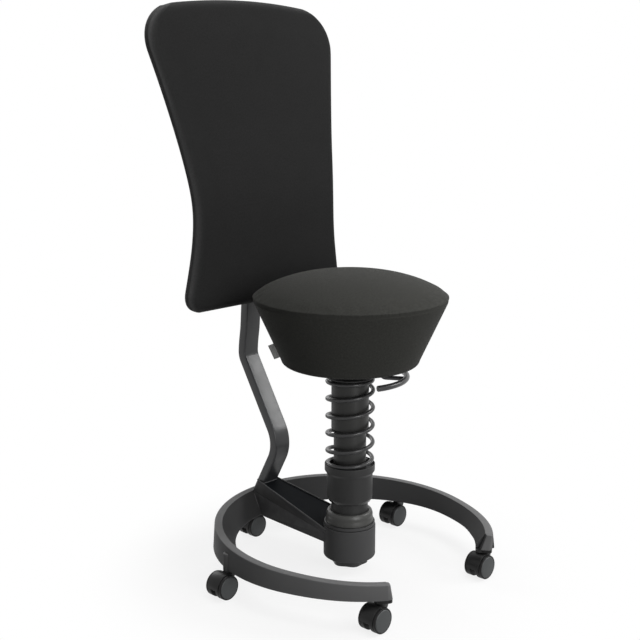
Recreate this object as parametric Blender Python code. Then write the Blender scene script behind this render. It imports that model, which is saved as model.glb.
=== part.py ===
# A sprung swing stool with a backrest, on an open foot ring with five castors.
# Metres, +Z up. The origin is on the floor under the strut, and the front faces -Y.

import math

import bmesh
import bpy
from mathutils import Matrix, Vector

# Gaps between pieces.
FIT = 0.0003
RUN = 0.0004

# Castors.
WHEEL_R = 0.025
WHEEL_W = 0.0127
WHEEL_EDGE = 0.0026
DISC_R = 0.0243
DISC_T = 0.0042
DISC_ROUND = 0.0018
GROOVE_R = 0.0215
GROOVE_W = 0.0011
HOOD_W = 0.0124
HOOD_DISC_R = 0.0243
HOOD_RISE = 0.0022
TRAIL = 0.018
AXLE_R = 0.003
AXLE_COVER = 0.0034
STEM_R = 0.0055
STEM_NECK_R = 0.004
STEM_LEN = 0.020
STEM_ROOT = 0.014

# Foot ring.
RING_R = 0.285
RING_T = 0.016
RING_H_BACK = 0.0575
RING_H_FRONT = 0.032
RING_RISE = 0.003
RING_CHAMFER = 0.0026
RING_LIFT = 0.0005
RING_OPEN = math.radians(72.0)
RING_FLARE = 0.0115
RING_FLARE_FROM = math.radians(105.0)
END_SOCKET_R = 0.0133
END_SOCKET_OUT = 0.0065
SOCKET_R = 0.0096
SOCKET_OUT = 0.002
SOCKET_COVER = 0.006

# Arm and hub.
ARM_W_RING = 0.050
ARM_H_RING = 0.049
ARM_H_HUB = 0.0225
ARM_STEP_RING = 0.0055
ARM_STEP_HUB = 0.0095
HUB_R = 0.053
HUB_WALL = 0.00265
HUB_H = 0.0625
HUB_DROP = 0.0215
HUB_FLOOR = 0.005
HUB_SHOULDER = 0.003
HUB_ROUND = 0.0048
SEAL_H = 0.0042
SEAL_T = 0.0021

# Swing joint.
PIVOT_RISE = 0.0105
DOME_WALL = 0.005
DOME_SKIRT = 0.022
NECK_R = 0.0381
NECK_H = 0.046
CROSS_R = 0.004
CROSS_REACH = 0.019
CROSS_BLOCK = 0.013
EAR_T = 0.006
EAR_W = 0.016
EAR_END = 0.008
YOKE_R = 0.018
YOKE_BASE = 0.010
YOKE_PLATE = 0.018
YOKE_SPIGOT = 0.014
BUFFER_R = 0.0465
BUFFER_HOLE = 0.0235
BUFFER_H = 0.034
KNOB_R = 0.035
KNOB_H = 0.0152
KNOB_LOBES = 6
KNOB_LOBE_DEPTH = 0.0035
STUD_R = 0.006
STUD_REACH = 0.008

# Strut and spring.
LOWER_R = 0.0337
LOWER_WALL = 0.0027
BUSH_T = 0.0024
BUSH_H = 0.038
UPPER_WALL = 0.0020
UPPER_LEN = 0.113
TRAVEL = 0.045
GUIDE_END = 0.0195
SLEEVE_LIFT = 0.053
SLEEVE_H = 0.0535
SLEEVE_ROUND = 0.006
CUP_H = 0.0262
CUP_DEPTH = 0.0147
CUP_WALL = 0.0018
CUP_STEP = 0.0041
WIRE_R = 0.00375
PITCH = 0.0369
ACTIVE_TURNS = 4.4
FOOT_TURNS = 1.0
FOOT_RISE = 0.018
HEAD_TURNS = 0.75
HEAD_RISE = 0.004
SPRING_PHASE = math.radians(131.7)
TURN_POINTS = 10
COLLAR_LIP = 0.0016
COLLAR_WALL = 0.0009
COLLAR_T = 0.0027
COLLAR_SKIRT = 0.0085
COLLAR_HUB_R = 0.032
COLLAR_HUB_H = 0.006

# Gas lift.
GAS_TUBE_R = 0.025
GAS_TUBE_WALL = 0.0025
GAS_TUBE_LEN = 0.2105
GAS_FLOOR = 0.004
GAS_BUSH_H = 0.062
CYLINDER_R = 0.014
CYLINDER_GAP = 0.030
LIFT = 0.09
ROD_R = 0.005
ROD_SPARE = 0.010
BUTTON_R = 0.004
BUTTON_H = 0.0122
BUTTON_OUT = 0.0042
BUTTON_TRAVEL = 0.004

# Seat.
SEAT_GAP = 0.0255
SEAT_R = 0.1995
SEAT_SIDE_H = 0.142
SEAT_FOOT_R = 0.122
SEAT_SKIRT_R = 0.1425
SEAT_SKIRT_H = 0.012
SEAT_CROWN = 0.048
SEAT_CROWN_POWER = 2.5
POCKET_WALL = 0.0104
COVER_T = 0.003
COVER_HOLE = 0.030
PAN_LIFT = 0.0065
PAN_T = 0.004
PAN_R = 0.085
PAN_FLANGE = 0.015
SOCKET_WALL = 0.0077
SOCKET_H = 0.0165
BOARD_T = 0.012
HEADROOM = 0.0055

# Release lever.
LEVER_R = 0.0045
LEVER_ANGLE = math.radians(-60.0)
LEVER_ARC_R = 0.118
LEVER_ARC_LEFT = math.radians(49.0)
LEVER_ARC_RIGHT = math.radians(45.0)
LEVER_DROP = 0.025
LEVER_BEND = 0.011
LEVER_PIVOT = 0.046
LEVER_LEG = 0.063
PIN_R = 0.0018
LUG_T = 0.004
LUG_GAP = 0.0008
LUG_W = 0.012

# Back bracket and bar.
SHEET = 0.003
WALL_RING = 0.029
WALL_HUB = 0.0085
BOLT_R = 0.004
BOLT_HEAD_R = 0.0065
BOLT_HEAD_H = 0.005
BOLT_LEN = 0.016
BAR_W = 0.037
BAR_T = 0.016
BAR_WALL = 0.002
BAR_CORNER = 0.0035
BAR_FOOT_LEAN = math.radians(28.4)
BAR_TOP_LEAN = math.radians(4.0)
BAR_FOOT_IN = 0.0095
BAR_KNEE_H = 0.118
BAR_ELBOW_Z = 0.4123
BAR_TOP_Z = 0.72
BAR_KNEE_BEND = 0.070
BAR_ELBOW_BEND = 0.035
BAR_STANDOFF = 0.0254

# Backrest.
BACK_CLEAR = 0.0225
BACK_BOTTOM = 0.5455
BACK_TOP = 1.1685
BACK_ARCH = 0.0245
BACK_ARCH_H = 0.25
BACK_WAIST_Z = 0.7634
BACK_WAIST_W = 0.3953
BACK_FLARE = 0.46
BACK_FLARE_SOFT = 0.096
BACK_CURVE_UP = 0.2116
BACK_CURVE_DOWN = 0.0631
BACK_CURVE_SOFT = 0.0528
BACK_TOP_ROUND = 0.0943
BACK_BOTTOM_ROUND = 0.044
PAD_T = 0.0262
PAD_ROLL = 0.016
PAD_CROWN = 0.004
SHELL_T = 0.005
SHELL_INSET = 0.010
SLEEVE_LOW = 0.60
SLEEVE_LEN = 0.10
SLEEVE_WALL = 0.005
SLEEVE_SIDE = 0.006
CLAMP_R = 0.021
CLAMP_H = 0.018
CLAMP_LOBES = 5
CLAMP_LOBE_DEPTH = 0.003
CLAMP_STUD_R = 0.004
CLAMP_OFF = 0.0012

# Levels that follow from the sizes.
SOCKET_Z = 2.0 * WHEEL_R + HOOD_RISE + FIT
RING_MID = RING_R - RING_T / 2.0
RING_IN = RING_R - RING_T
RING_BOTTOM = SOCKET_Z + RING_LIFT
CASTOR_R = RING_MID + SOCKET_OUT
FRONT_Y = -(RING_MID + RING_FLARE) * math.cos(RING_OPEN / 2.0)
HUB_BOTTOM = SOCKET_Z - HUB_DROP
HUB_TOP = HUB_BOTTOM + HUB_H
HUB_IN = HUB_R - HUB_WALL
ARM_W_HUB = 2.0 * (HUB_R - HUB_SHOULDER)
PIVOT_Z = HUB_TOP + PIVOT_RISE
DOME_R = HUB_IN - FIT
YOKE_TOP = PIVOT_Z + NECK_H
SLEEVE_BOTTOM = PIVOT_Z + SLEEVE_LIFT
CUP_BOTTOM = SLEEVE_BOTTOM + SLEEVE_H
CUP_TOP = CUP_BOTTOM + CUP_H
CUP_FLOOR = CUP_TOP - CUP_DEPTH
UPPER_IN = LOWER_R + RUN + BUSH_T + FIT
UPPER_R = UPPER_IN + UPPER_WALL
COLLAR_IN = UPPER_R + FIT
SPRING_R = (COLLAR_IN + COLLAR_WALL + RUN + WIRE_R) / math.cos(math.pi / TURN_POINTS)
COLLAR_R = SPRING_R + COLLAR_LIP
CUP_R = SPRING_R + WIRE_R + RUN + CUP_WALL
SLEEVE_R = CUP_R - CUP_STEP
SPRING_BOTTOM = CUP_FLOOR + FIT + WIRE_R
SPRING_TOP = SPRING_BOTTOM + FOOT_RISE + ACTIVE_TURNS * PITCH + HEAD_RISE
COLLAR_Z = SPRING_TOP + WIRE_R + FIT
COLLAR_TOP = COLLAR_Z + COLLAR_T
UPPER_TOP = COLLAR_Z - FIT
UPPER_BOTTOM = UPPER_TOP - UPPER_LEN
LOWER_TOP = COLLAR_Z - TRAVEL - GUIDE_END
LOWER_IN = LOWER_R - LOWER_WALL
GAS_TOP = COLLAR_TOP + COLLAR_HUB_H
GAS_BOTTOM = GAS_TOP - GAS_TUBE_LEN
GAS_IN = GAS_TUBE_R - GAS_TUBE_WALL
ROD_BOTTOM = GAS_BOTTOM + GAS_FLOOR + FIT
CYLINDER_BOTTOM = ROD_BOTTOM + CYLINDER_GAP
ROD_TOP = CYLINDER_BOTTOM + LIFT + ROD_SPARE
SEAT_BOTTOM = COLLAR_TOP + SEAT_GAP
SEAT_RIM = SEAT_BOTTOM + SEAT_SIDE_H
PAN_BOTTOM = SEAT_BOTTOM + PAN_LIFT
SOCKET_BORE = CYLINDER_R + FIT
CYLINDER_TOP = PAN_BOTTOM + SOCKET_H - FIT
BUTTON_TOP = CYLINDER_TOP + BUTTON_OUT
LEVER_Z = BUTTON_TOP + FIT + LEVER_R
PAN_TOP = LEVER_Z + LEVER_R + HEADROOM
BOARD_BOTTOM = PAN_TOP + FIT
POCKET_TOP = BOARD_BOTTOM + BOARD_T + FIT
POCKET_R = SEAT_FOOT_R - POCKET_WALL
GRIP_Z = SEAT_BOTTOM - LEVER_DROP
ARM_TOP_RING = RING_BOTTOM + ARM_STEP_RING + ARM_H_RING
ARM_TOP_HUB = RING_BOTTOM + ARM_STEP_HUB + ARM_H_HUB
ARM_SLOPE = (ARM_TOP_RING - ARM_TOP_HUB) / (RING_IN - HUB_R)
SHEET_UP = SHEET * math.hypot(1.0, ARM_SLOPE)
BACK_FRONT_Y = SEAT_R + BACK_CLEAR
SHELL_BACK = PAD_T + FIT + SHELL_T

for old in list(bpy.data.objects):
    bpy.data.objects.remove(old, do_unlink=True)


def make_material(name, colour, roughness, metallic):
    material = bpy.data.materials.new(name)
    material.use_nodes = True
    shader = material.node_tree.nodes["Principled BSDF"]
    shader.inputs["Base Color"].default_value = (*colour, 1.0)
    shader.inputs["Roughness"].default_value = roughness
    shader.inputs["Metallic"].default_value = metallic
    material.diffuse_color = (*colour, 1.0)
    return material


def to_object(name, mesh_bm, looks=None, place=(0.0, 0.0, 0.0), parent=None):
    bmesh.ops.recalc_face_normals(mesh_bm, faces=mesh_bm.faces)
    mesh = bpy.data.meshes.new(name)
    mesh_bm.to_mesh(mesh)
    mesh_bm.free()
    mesh.shade_smooth()
    mesh.set_sharp_from_angle(angle=math.radians(35.0))
    obj = bpy.data.objects.new(name, mesh)
    obj.location = place
    if parent is not None:
        obj.parent = parent
    bpy.context.scene.collection.objects.link(obj)
    if looks is not None:
        mesh.materials.append(make_material(name, *looks))
    return obj


def copy_object(name, source, place, parent):
    obj = bpy.data.objects.new(name, source.data)
    obj.location = place
    obj.parent = parent
    bpy.context.scene.collection.objects.link(obj)
    return obj


def pivot(name, place):
    empty = bpy.data.objects.new(name, None)
    empty.location = place
    empty.empty_display_size = 0.02
    bpy.context.scene.collection.objects.link(empty)
    return empty


def cut(target, cutter, operation="DIFFERENCE"):
    cutter.hide_render = True
    cutter.display_type = "WIRE"
    modifier = target.modifiers.new(cutter.name, "BOOLEAN")
    modifier.operation = operation
    modifier.object = cutter


def turned(profile, sides, half_step=False):
    # Turns a profile of (radius, height) points about Z. It closes on itself unless it ends on the axis.
    made = bmesh.new()
    shift = 0.5 if half_step else 0.0
    rings = []
    for radius, height in profile:
        if radius < 1e-7:
            rings.append([made.verts.new((0.0, 0.0, height))])
            continue
        ring = []
        for k in range(sides):
            angle = 2.0 * math.pi * (k + shift) / sides
            ring.append(made.verts.new((radius * math.cos(angle), radius * math.sin(angle), height)))
        rings.append(ring)
    count = len(rings)
    open_chain = len(rings[0]) == 1 and len(rings[-1]) == 1
    for i in range(count - 1 if open_chain else count):
        a = rings[i]
        b = rings[(i + 1) % count]
        for k in range(sides):
            n = (k + 1) % sides
            corners = [a[k % len(a)], b[k % len(b)], b[n % len(b)], a[n % len(a)]]
            corners = list(dict.fromkeys(corners))
            if len(corners) > 2:
                made.faces.new(corners)
    return made


def lofted(rings, capped=True):
    # Joins equal rings of points into a closed body with flat ends.
    made = bmesh.new()
    rows = [[made.verts.new(p) for p in ring] for ring in rings]
    count = len(rows[0])
    for a, b in zip(rows, rows[1:]):
        for k in range(count):
            n = (k + 1) % count
            made.faces.new((a[k], a[n], b[n], b[k]))
    if capped:
        made.faces.new(rows[0])
        made.faces.new(rows[-1])
    return made


def sheet(outer, inner):
    # Closes two grids of points of the same size, a thickness apart, into one body.
    made = bmesh.new()
    top = [[made.verts.new(p) for p in row] for row in outer]
    low = [[made.verts.new(p) for p in row] for row in inner]
    rows = len(top)
    cols = len(top[0])
    for i in range(rows - 1):
        for j in range(cols - 1):
            made.faces.new((top[i][j], top[i][j + 1], top[i + 1][j + 1], top[i + 1][j]))
            made.faces.new((low[i][j], low[i + 1][j], low[i + 1][j + 1], low[i][j + 1]))
    for i in range(rows - 1):
        made.faces.new((top[i][0], top[i + 1][0], low[i + 1][0], low[i][0]))
        made.faces.new((top[i][-1], low[i][-1], low[i + 1][-1], top[i + 1][-1]))
    for j in range(cols - 1):
        made.faces.new((top[0][j], low[0][j], low[0][j + 1], top[0][j + 1]))
        made.faces.new((top[-1][j], top[-1][j + 1], low[-1][j + 1], low[-1][j]))
    return made


def extruded(outline, low, high):
    # Extrudes a flat outline of (x, y) points from one height to another.
    return lofted([[(x, y, low) for x, y in outline], [(x, y, high) for x, y in outline]])


def cylinder(radius, low, high, sides):
    return turned([(0.0, high), (radius, high), (radius, low), (0.0, low)], sides)


def box(size, middle):
    made = bmesh.new()
    bmesh.ops.create_cube(made, size=1.0)
    bmesh.ops.scale(made, vec=size, verts=made.verts)
    bmesh.ops.translate(made, vec=middle, verts=made.verts)
    return made


def placed(made, matrix):
    bmesh.ops.transform(made, matrix=matrix, verts=made.verts)
    return made


def gathered(bodies):
    # Puts several separate bodies into one mesh, for a cutter.
    whole = bmesh.new()
    for body in bodies:
        scratch = bpy.data.meshes.new("scratch")
        bmesh.ops.recalc_face_normals(body, faces=body.faces)
        body.to_mesh(scratch)
        body.free()
        whole.from_mesh(scratch)
        bpy.data.meshes.remove(scratch)
    return whole


def lerp(a, b, t):
    return a + (b - a) * t


def lobed(radius, depth, lobes, per_lobe):
    # Outline of a knob with rounded lobes.
    points = []
    for k in range(lobes * per_lobe):
        angle = 2.0 * math.pi * k / (lobes * per_lobe)
        r = radius - depth * (0.5 - 0.5 * math.cos(lobes * angle))
        points.append((r * math.cos(angle), r * math.sin(angle)))
    return points


def rounded(width, thick, bend):
    # Outline of a flat bar with round corners, across x first and thickness second.
    points = []
    for side in (1.0, -1.0):
        for start, end in ((-90.0, -1.0), (0.0, 1.0)):
            for k in range(3):
                angle = math.radians(start + 45.0 * k)
                across = width / 2.0 - bend + bend * math.cos(angle)
                through = end * (thick / 2.0 - bend) + bend * math.sin(angle)
                points.append((side * across, side * through))
    return points


def filleted(corners, bends, per_bend):
    # Points along a path with rounded corners.
    path = [corners[0]]
    for before, corner, after, bend in zip(corners, corners[1:], corners[2:], bends):
        into = (corner - before).normalized()
        out = (after - corner).normalized()
        turn = into.angle(out)
        reach = bend * math.tan(turn / 2.0)
        normal = (out - into).normalized()
        centre = corner + normal * (bend / math.cos(turn / 2.0))
        start = corner - into * reach
        axis = into.cross(out).normalized()
        for k in range(per_bend + 1):
            spin = Matrix.Rotation(turn * k / per_bend, 3, axis)
            path.append(centre + spin @ (start - centre))
    path.append(corners[-1])
    return path


METAL = ((0.055, 0.055, 0.058), 0.42, 0.3)
TUBE = ((0.030, 0.030, 0.031), 0.35, 0.2)
STEEL = ((0.35, 0.35, 0.36), 0.3, 0.9)
DARK_STEEL = ((0.09, 0.09, 0.095), 0.3, 0.8)
RUBBER = ((0.020, 0.020, 0.020), 0.3, 0.0)
PLASTIC = ((0.025, 0.025, 0.026), 0.45, 0.0)
DISC = ((0.075, 0.076, 0.080), 0.5, 0.0)
FABRIC = ((0.030, 0.030, 0.029), 0.9, 0.0)
BACK_FABRIC = ((0.022, 0.022, 0.022), 0.9, 0.0)
WOOD = ((0.45, 0.32, 0.18), 0.7, 0.0)
ZINC = ((0.45, 0.45, 0.46), 0.4, 0.9)
BRONZE = ((0.35, 0.25, 0.12), 0.5, 0.6)


# Foot ring: a swept section that gets lower towards both ends, with flat top and bottom planes.
def ring_top(y):
    return lerp(RING_BOTTOM + RING_H_BACK, RING_BOTTOM + RING_RISE + RING_H_FRONT,
                (RING_MID - y) / (RING_MID - FRONT_Y))


def ring_low(y):
    return lerp(RING_BOTTOM, RING_BOTTOM + RING_RISE, (RING_MID - y) / (RING_MID - FRONT_Y))


ring_half = math.pi - RING_OPEN / 2.0
ring_steps = 60


def ring_middle(angle):
    # The ring opens out a little towards both ends.
    t = (abs(angle) - RING_FLARE_FROM) / (ring_half - RING_FLARE_FROM)
    t = min(1.0, max(0.0, t))
    return RING_MID + RING_FLARE * t * t * (3.0 - 2.0 * t)


def ring_section(angle):
    c = RING_CHAMFER
    half = RING_T / 2.0
    section = []
    for across, rise, inset in (
            (half, 0.0, c), (half, 1.0, -c), (half - c, 1.0, 0.0), (c - half, 1.0, 0.0),
            (-half, 1.0, -c), (-half, 0.0, c), (c - half, 0.0, 0.0), (half - c, 0.0, 0.0)):
        r = ring_middle(angle) + across
        y = r * math.cos(angle)
        z = lerp(ring_low(y), ring_top(y), rise) + inset
        section.append(Vector((r * math.sin(angle), y, z)))
    return section


def end_socket(spot):
    # A cone that grows from the round end of the ring to the castor socket under it.
    top_spot = spot.normalized() * (RING_MID + RING_FLARE)
    rings = []
    for middle, radius, drop in (
            (spot, END_SOCKET_R, None), (top_spot, RING_T / 2.0, RING_CHAMFER + FIT),
            (top_spot, RING_T / 2.0 - RING_CHAMFER, FIT)):
        ring = []
        for k in range(24):
            angle = 2.0 * math.pi * k / 24.0
            x = middle.x + radius * math.cos(angle)
            y = middle.y + radius * math.sin(angle)
            ring.append((x, y, SOCKET_Z if drop is None else ring_top(y) - drop))
        rings.append(ring)
    return lofted(rings)


ring_rows = [ring_section(lerp(-ring_half, ring_half, k / ring_steps)) for k in range(ring_steps + 1)]
foot_ring = to_object("foot_ring", lofted(ring_rows), METAL)

castor_places = {}
for place_name, steps in (("back", 0), ("side_right", -1), ("side_left", 1),
                          ("front_right", -2), ("front_left", 2)):
    turn = math.radians(72.0) * steps
    reach = RING_MID + END_SOCKET_OUT if abs(steps) == 2 else CASTOR_R
    castor_places[place_name] = Vector((reach * math.sin(turn), reach * math.cos(turn), 0.0))

bosses = []
bores = []
for place_name, spot in castor_places.items():
    shift = Matrix.Translation(spot)
    if place_name.startswith("front"):
        bosses.append(end_socket(spot))
    else:
        boss_top = ring_top(spot.y) - SOCKET_COVER
        bosses.append(placed(cylinder(SOCKET_R, SOCKET_Z, boss_top, 20), shift))
    bore_high = SOCKET_Z + STEM_LEN + 0.001
    bores.append(placed(cylinder(STEM_R + RUN, SOCKET_Z - 0.01, bore_high, 16), shift))
cut(foot_ring, to_object("ring_bosses", gathered(bosses)), "UNION")
cut(foot_ring, to_object("ring_bores", gathered(bores)))


# Arm: widens from the ring to the hub and fits the round of both.
arm_sweep = math.asin(ARM_W_HUB / 2.0 / (HUB_R + FIT))
arm_cells = 12
arm_turns = [lerp(-arm_sweep, arm_sweep, k / arm_cells) for k in range(arm_cells + 1)]
arm_across = [math.sin(turn) / math.sin(arm_sweep) for turn in arm_turns]


def arm_end_hub(x):
    # The chords of the end stay outside the hub.
    r = (HUB_R + FIT) / math.cos(arm_sweep / arm_cells)
    return math.sqrt(r * r - x * x)


def arm_end_ring(x):
    r = RING_IN * math.cos(ring_half / ring_steps) - FIT
    return math.sqrt(r * r - x * x)


def arm_half(t):
    return lerp(ARM_W_HUB, ARM_W_RING, t) / 2.0


def arm_plane(y):
    return ARM_TOP_HUB + (y - HUB_R) * ARM_SLOPE


arm_upper = []
arm_lower = []
for i in range(5):
    t = i / 4.0
    upper_row = []
    lower_row = []
    for u in arm_across:
        y = lerp(arm_end_hub(u * arm_half(0.0)), arm_end_ring(u * arm_half(1.0)), t)
        x = u * arm_half(t)
        upper_row.append((x, y, arm_plane(y)))
        lower_row.append((x, y, lerp(RING_BOTTOM + ARM_STEP_HUB, RING_BOTTOM + ARM_STEP_RING, t)))
    arm_upper.append(upper_row)
    arm_lower.append(lower_row)
foot_arm = to_object("foot_arm", sheet(arm_upper, arm_lower), METAL)

# Hub cup with its lip ring.
round_in = 2.0 * HUB_ROUND
hub_floor = HUB_BOTTOM + HUB_FLOOR
hub_profile = [
    (HUB_R, HUB_TOP), (HUB_R, HUB_BOTTOM + HUB_ROUND),
    (HUB_R - 0.3 * HUB_ROUND, HUB_BOTTOM + 0.3 * HUB_ROUND), (HUB_R - HUB_ROUND, HUB_BOTTOM),
    (STUD_R + RUN, HUB_BOTTOM), (STUD_R + RUN, hub_floor), (HUB_IN - round_in, hub_floor),
    (HUB_IN - 0.3 * round_in, hub_floor + 0.3 * round_in), (HUB_IN, hub_floor + round_in),
    (HUB_IN, HUB_TOP)]
hub_cup = to_object("hub_cup", turned(hub_profile, 32), METAL)
seal_low = HUB_TOP + FIT
hub_seal = to_object("hub_seal", turned([
    (DOME_R + FIT + SEAL_T, seal_low), (DOME_R + FIT, seal_low), (DOME_R + FIT, seal_low + SEAL_H),
    (DOME_R + FIT + 0.6 * SEAL_T, seal_low + SEAL_H),
    (DOME_R + FIT + SEAL_T, seal_low + 0.6 * SEAL_H)], 32), PLASTIC)

# Swing joint: two forks and a cross under a dome that is round about the pivot.
swing_pivot = pivot("swing_pivot", (0.0, 0.0, PIVOT_Z))
yoke_low = HUB_BOTTOM + HUB_FLOOR + FIT
ear_mid = CROSS_REACH - EAR_T / 2.0
lower_yoke = to_object("lower_yoke", cylinder(YOKE_R, yoke_low, yoke_low + YOKE_BASE, 24), STEEL)
ear_low = yoke_low + YOKE_BASE / 2.0
ear_top = PIVOT_Z + EAR_END
ear_size = (EAR_T, EAR_W, ear_top - ear_low)
ears = [box(ear_size, (side * ear_mid, 0.0, (ear_top + ear_low) / 2.0)) for side in (-1, 1)]
cut(lower_yoke, to_object("lower_ears", gathered(ears)), "UNION")
along_x = Matrix.Translation((0.0, 0.0, PIVOT_Z)) @ Matrix.Rotation(math.radians(90.0), 4, "Y")
along_y = Matrix.Translation((0.0, 0.0, PIVOT_Z)) @ Matrix.Rotation(math.radians(90.0), 4, "X")
pin_reach = CROSS_REACH + 0.01
lower_holes = gathered([
    placed(cylinder(CROSS_R + RUN, -pin_reach, pin_reach, 16), along_x),
    cylinder(STUD_R + RUN, yoke_low - 0.01, yoke_low + STUD_REACH, 16)])
cut(lower_yoke, to_object("lower_yoke_holes", lower_holes))

swing_cross = to_object("swing_cross", cylinder(CROSS_R, -CROSS_REACH, CROSS_REACH, 16), DARK_STEEL,
                        parent=swing_pivot)
swing_cross.rotation_euler = (0.0, math.radians(90.0), 0.0)
cross_arm = to_object("cross_arm", placed(cylinder(CROSS_R, -CROSS_REACH, CROSS_REACH, 16), along_y))
cross_block = to_object("cross_block", box((CROSS_BLOCK, CROSS_BLOCK, CROSS_BLOCK), (0.0, 0.0, PIVOT_Z)))
cut(swing_cross, cross_arm, "UNION")
cut(swing_cross, cross_block, "UNION")

plate_low = YOKE_TOP - YOKE_PLATE
spigot_r = LOWER_IN - FIT
plate_r = NECK_R - 0.0043
upper_yoke = to_object("upper_yoke", turned([
    (0.0, YOKE_TOP + YOKE_SPIGOT), (spigot_r, YOKE_TOP + YOKE_SPIGOT), (spigot_r, YOKE_TOP),
    (plate_r, YOKE_TOP), (plate_r, plate_low), (0.0, plate_low)], 24), STEEL)
hang_low = PIVOT_Z - EAR_END
hang_top = plate_low + YOKE_PLATE / 2.0
hang_size = (EAR_W, EAR_T, hang_top - hang_low)
hangers = [box(hang_size, (0.0, side * ear_mid, (hang_top + hang_low) / 2.0)) for side in (-1, 1)]
cut(upper_yoke, to_object("upper_ears", gathered(hangers)), "UNION")
upper_holes = placed(cylinder(CROSS_R + RUN, -pin_reach, pin_reach, 16), along_y)
cut(upper_yoke, to_object("upper_yoke_holes", upper_holes))

dome_in = DOME_R - DOME_WALL
neck_start = math.acos(min(0.98, (NECK_R + 0.003) / DOME_R))
skirt_out = -math.asin(DOME_SKIRT / DOME_R)
skirt_in = -math.asin(DOME_SKIRT / dome_in)
dome_shell = []
for k in range(9):
    bend = lerp(neck_start, skirt_out, k / 8.0)
    dome_shell.append((DOME_R * math.cos(bend), DOME_R * math.sin(bend)))
inner_start = math.acos(min(0.98, (plate_r + FIT) / dome_in))
dome_inner = []
for k in range(7):
    bend = lerp(skirt_in, inner_start, k / 6.0)
    dome_inner.append((dome_in * math.cos(bend), dome_in * math.sin(bend)))
neck_foot = DOME_R * math.sin(neck_start) + 0.001
dome_profile = [(NECK_R, NECK_H), (NECK_R, neck_foot)] + dome_shell + dome_inner
dome_profile += [(plate_r + FIT, NECK_H)]
swing_dome = to_object("swing_dome", turned(dome_profile, 32), RUBBER, parent=swing_pivot)

buffer_low = yoke_low
swing_buffer = to_object("swing_buffer", turned([
    (BUFFER_R, buffer_low + 0.4 * BUFFER_H), (BUFFER_R, buffer_low + 0.85 * BUFFER_H),
    (BUFFER_R - 0.1 * BUFFER_H, buffer_low + BUFFER_H), (BUFFER_HOLE, buffer_low + BUFFER_H),
    (BUFFER_HOLE, buffer_low), (HUB_IN - round_in - FIT, buffer_low)], 24), RUBBER)

knob_pivot = pivot("knob_pivot", (0.0, 0.0, HUB_BOTTOM))
knob_outline = lobed(KNOB_R, KNOB_LOBE_DEPTH, KNOB_LOBES, 8)
tilt_knob = to_object("tilt_knob", extruded(knob_outline, -KNOB_H - FIT, -FIT), PLASTIC, parent=knob_pivot)
stud_top = yoke_low + STUD_REACH - 0.001
cut(tilt_knob, to_object("tilt_stud", cylinder(STUD_R, HUB_BOTTOM - KNOB_H / 2.0, stud_top, 16)), "UNION")

# Strut: the upper tube slides down over the lower one against the spring.
lower_tube = to_object("lower_tube", turned([
    (LOWER_R, LOWER_TOP), (LOWER_R, YOKE_TOP + FIT), (LOWER_IN, YOKE_TOP + FIT),
    (LOWER_IN, LOWER_TOP)], 32), TUBE)
sleeve_in = LOWER_R + RUN
spring_sleeve = to_object("spring_sleeve", turned([
    (CUP_R - 0.0006, CUP_TOP), (CUP_R, CUP_TOP - 0.0015), (CUP_R, CUP_BOTTOM + 0.002),
    (SLEEVE_R, CUP_BOTTOM), (SLEEVE_R, SLEEVE_BOTTOM + SLEEVE_ROUND),
    (SLEEVE_R - 0.3 * SLEEVE_ROUND, SLEEVE_BOTTOM + 0.3 * SLEEVE_ROUND),
    (SLEEVE_R - SLEEVE_ROUND, SLEEVE_BOTTOM), (sleeve_in, SLEEVE_BOTTOM), (sleeve_in, CUP_FLOOR),
    (CUP_R - CUP_WALL, CUP_FLOOR), (CUP_R - CUP_WALL, CUP_TOP)], 32), PLASTIC)
upper_tube = to_object("upper_tube", turned([
    (UPPER_R, UPPER_TOP), (UPPER_R, UPPER_BOTTOM + 0.0065), (UPPER_R - 0.8 * UPPER_WALL, UPPER_BOTTOM),
    (UPPER_IN, UPPER_BOTTOM), (UPPER_IN, UPPER_TOP)], 32), TUBE)
bush_low = UPPER_BOTTOM + 0.001
guide_bush = to_object("guide_bush", turned([
    (LOWER_R + RUN + BUSH_T, bush_low + BUSH_H), (LOWER_R + RUN + BUSH_T, bush_low),
    (LOWER_R + RUN, bush_low), (LOWER_R + RUN, bush_low + BUSH_H)], 32), BRONZE)
skirt_r = COLLAR_IN + COLLAR_WALL
collar_bore = GAS_TUBE_R + FIT
spring_collar = to_object("spring_collar", turned([
    (COLLAR_HUB_R, COLLAR_TOP + COLLAR_HUB_H), (COLLAR_HUB_R, COLLAR_TOP), (COLLAR_R, COLLAR_TOP),
    (COLLAR_R, COLLAR_Z), (skirt_r, COLLAR_Z), (skirt_r, COLLAR_Z - COLLAR_SKIRT),
    (COLLAR_IN, COLLAR_Z - COLLAR_SKIRT),
    (COLLAR_IN, COLLAR_Z), (collar_bore, COLLAR_Z), (collar_bore, COLLAR_TOP + COLLAR_HUB_H)], 32), PLASTIC)


# Coil spring: one wire, with a flatter turn at each end.
def spring_height(turns):
    if turns < FOOT_TURNS:
        return SPRING_BOTTOM + FOOT_RISE * (turns / FOOT_TURNS) ** 1.5
    if turns < FOOT_TURNS + ACTIVE_TURNS:
        return SPRING_BOTTOM + FOOT_RISE + PITCH * (turns - FOOT_TURNS)
    rest = (turns - FOOT_TURNS - ACTIVE_TURNS) / HEAD_TURNS
    return SPRING_TOP - HEAD_RISE * (1.0 - rest) ** 2


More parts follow.
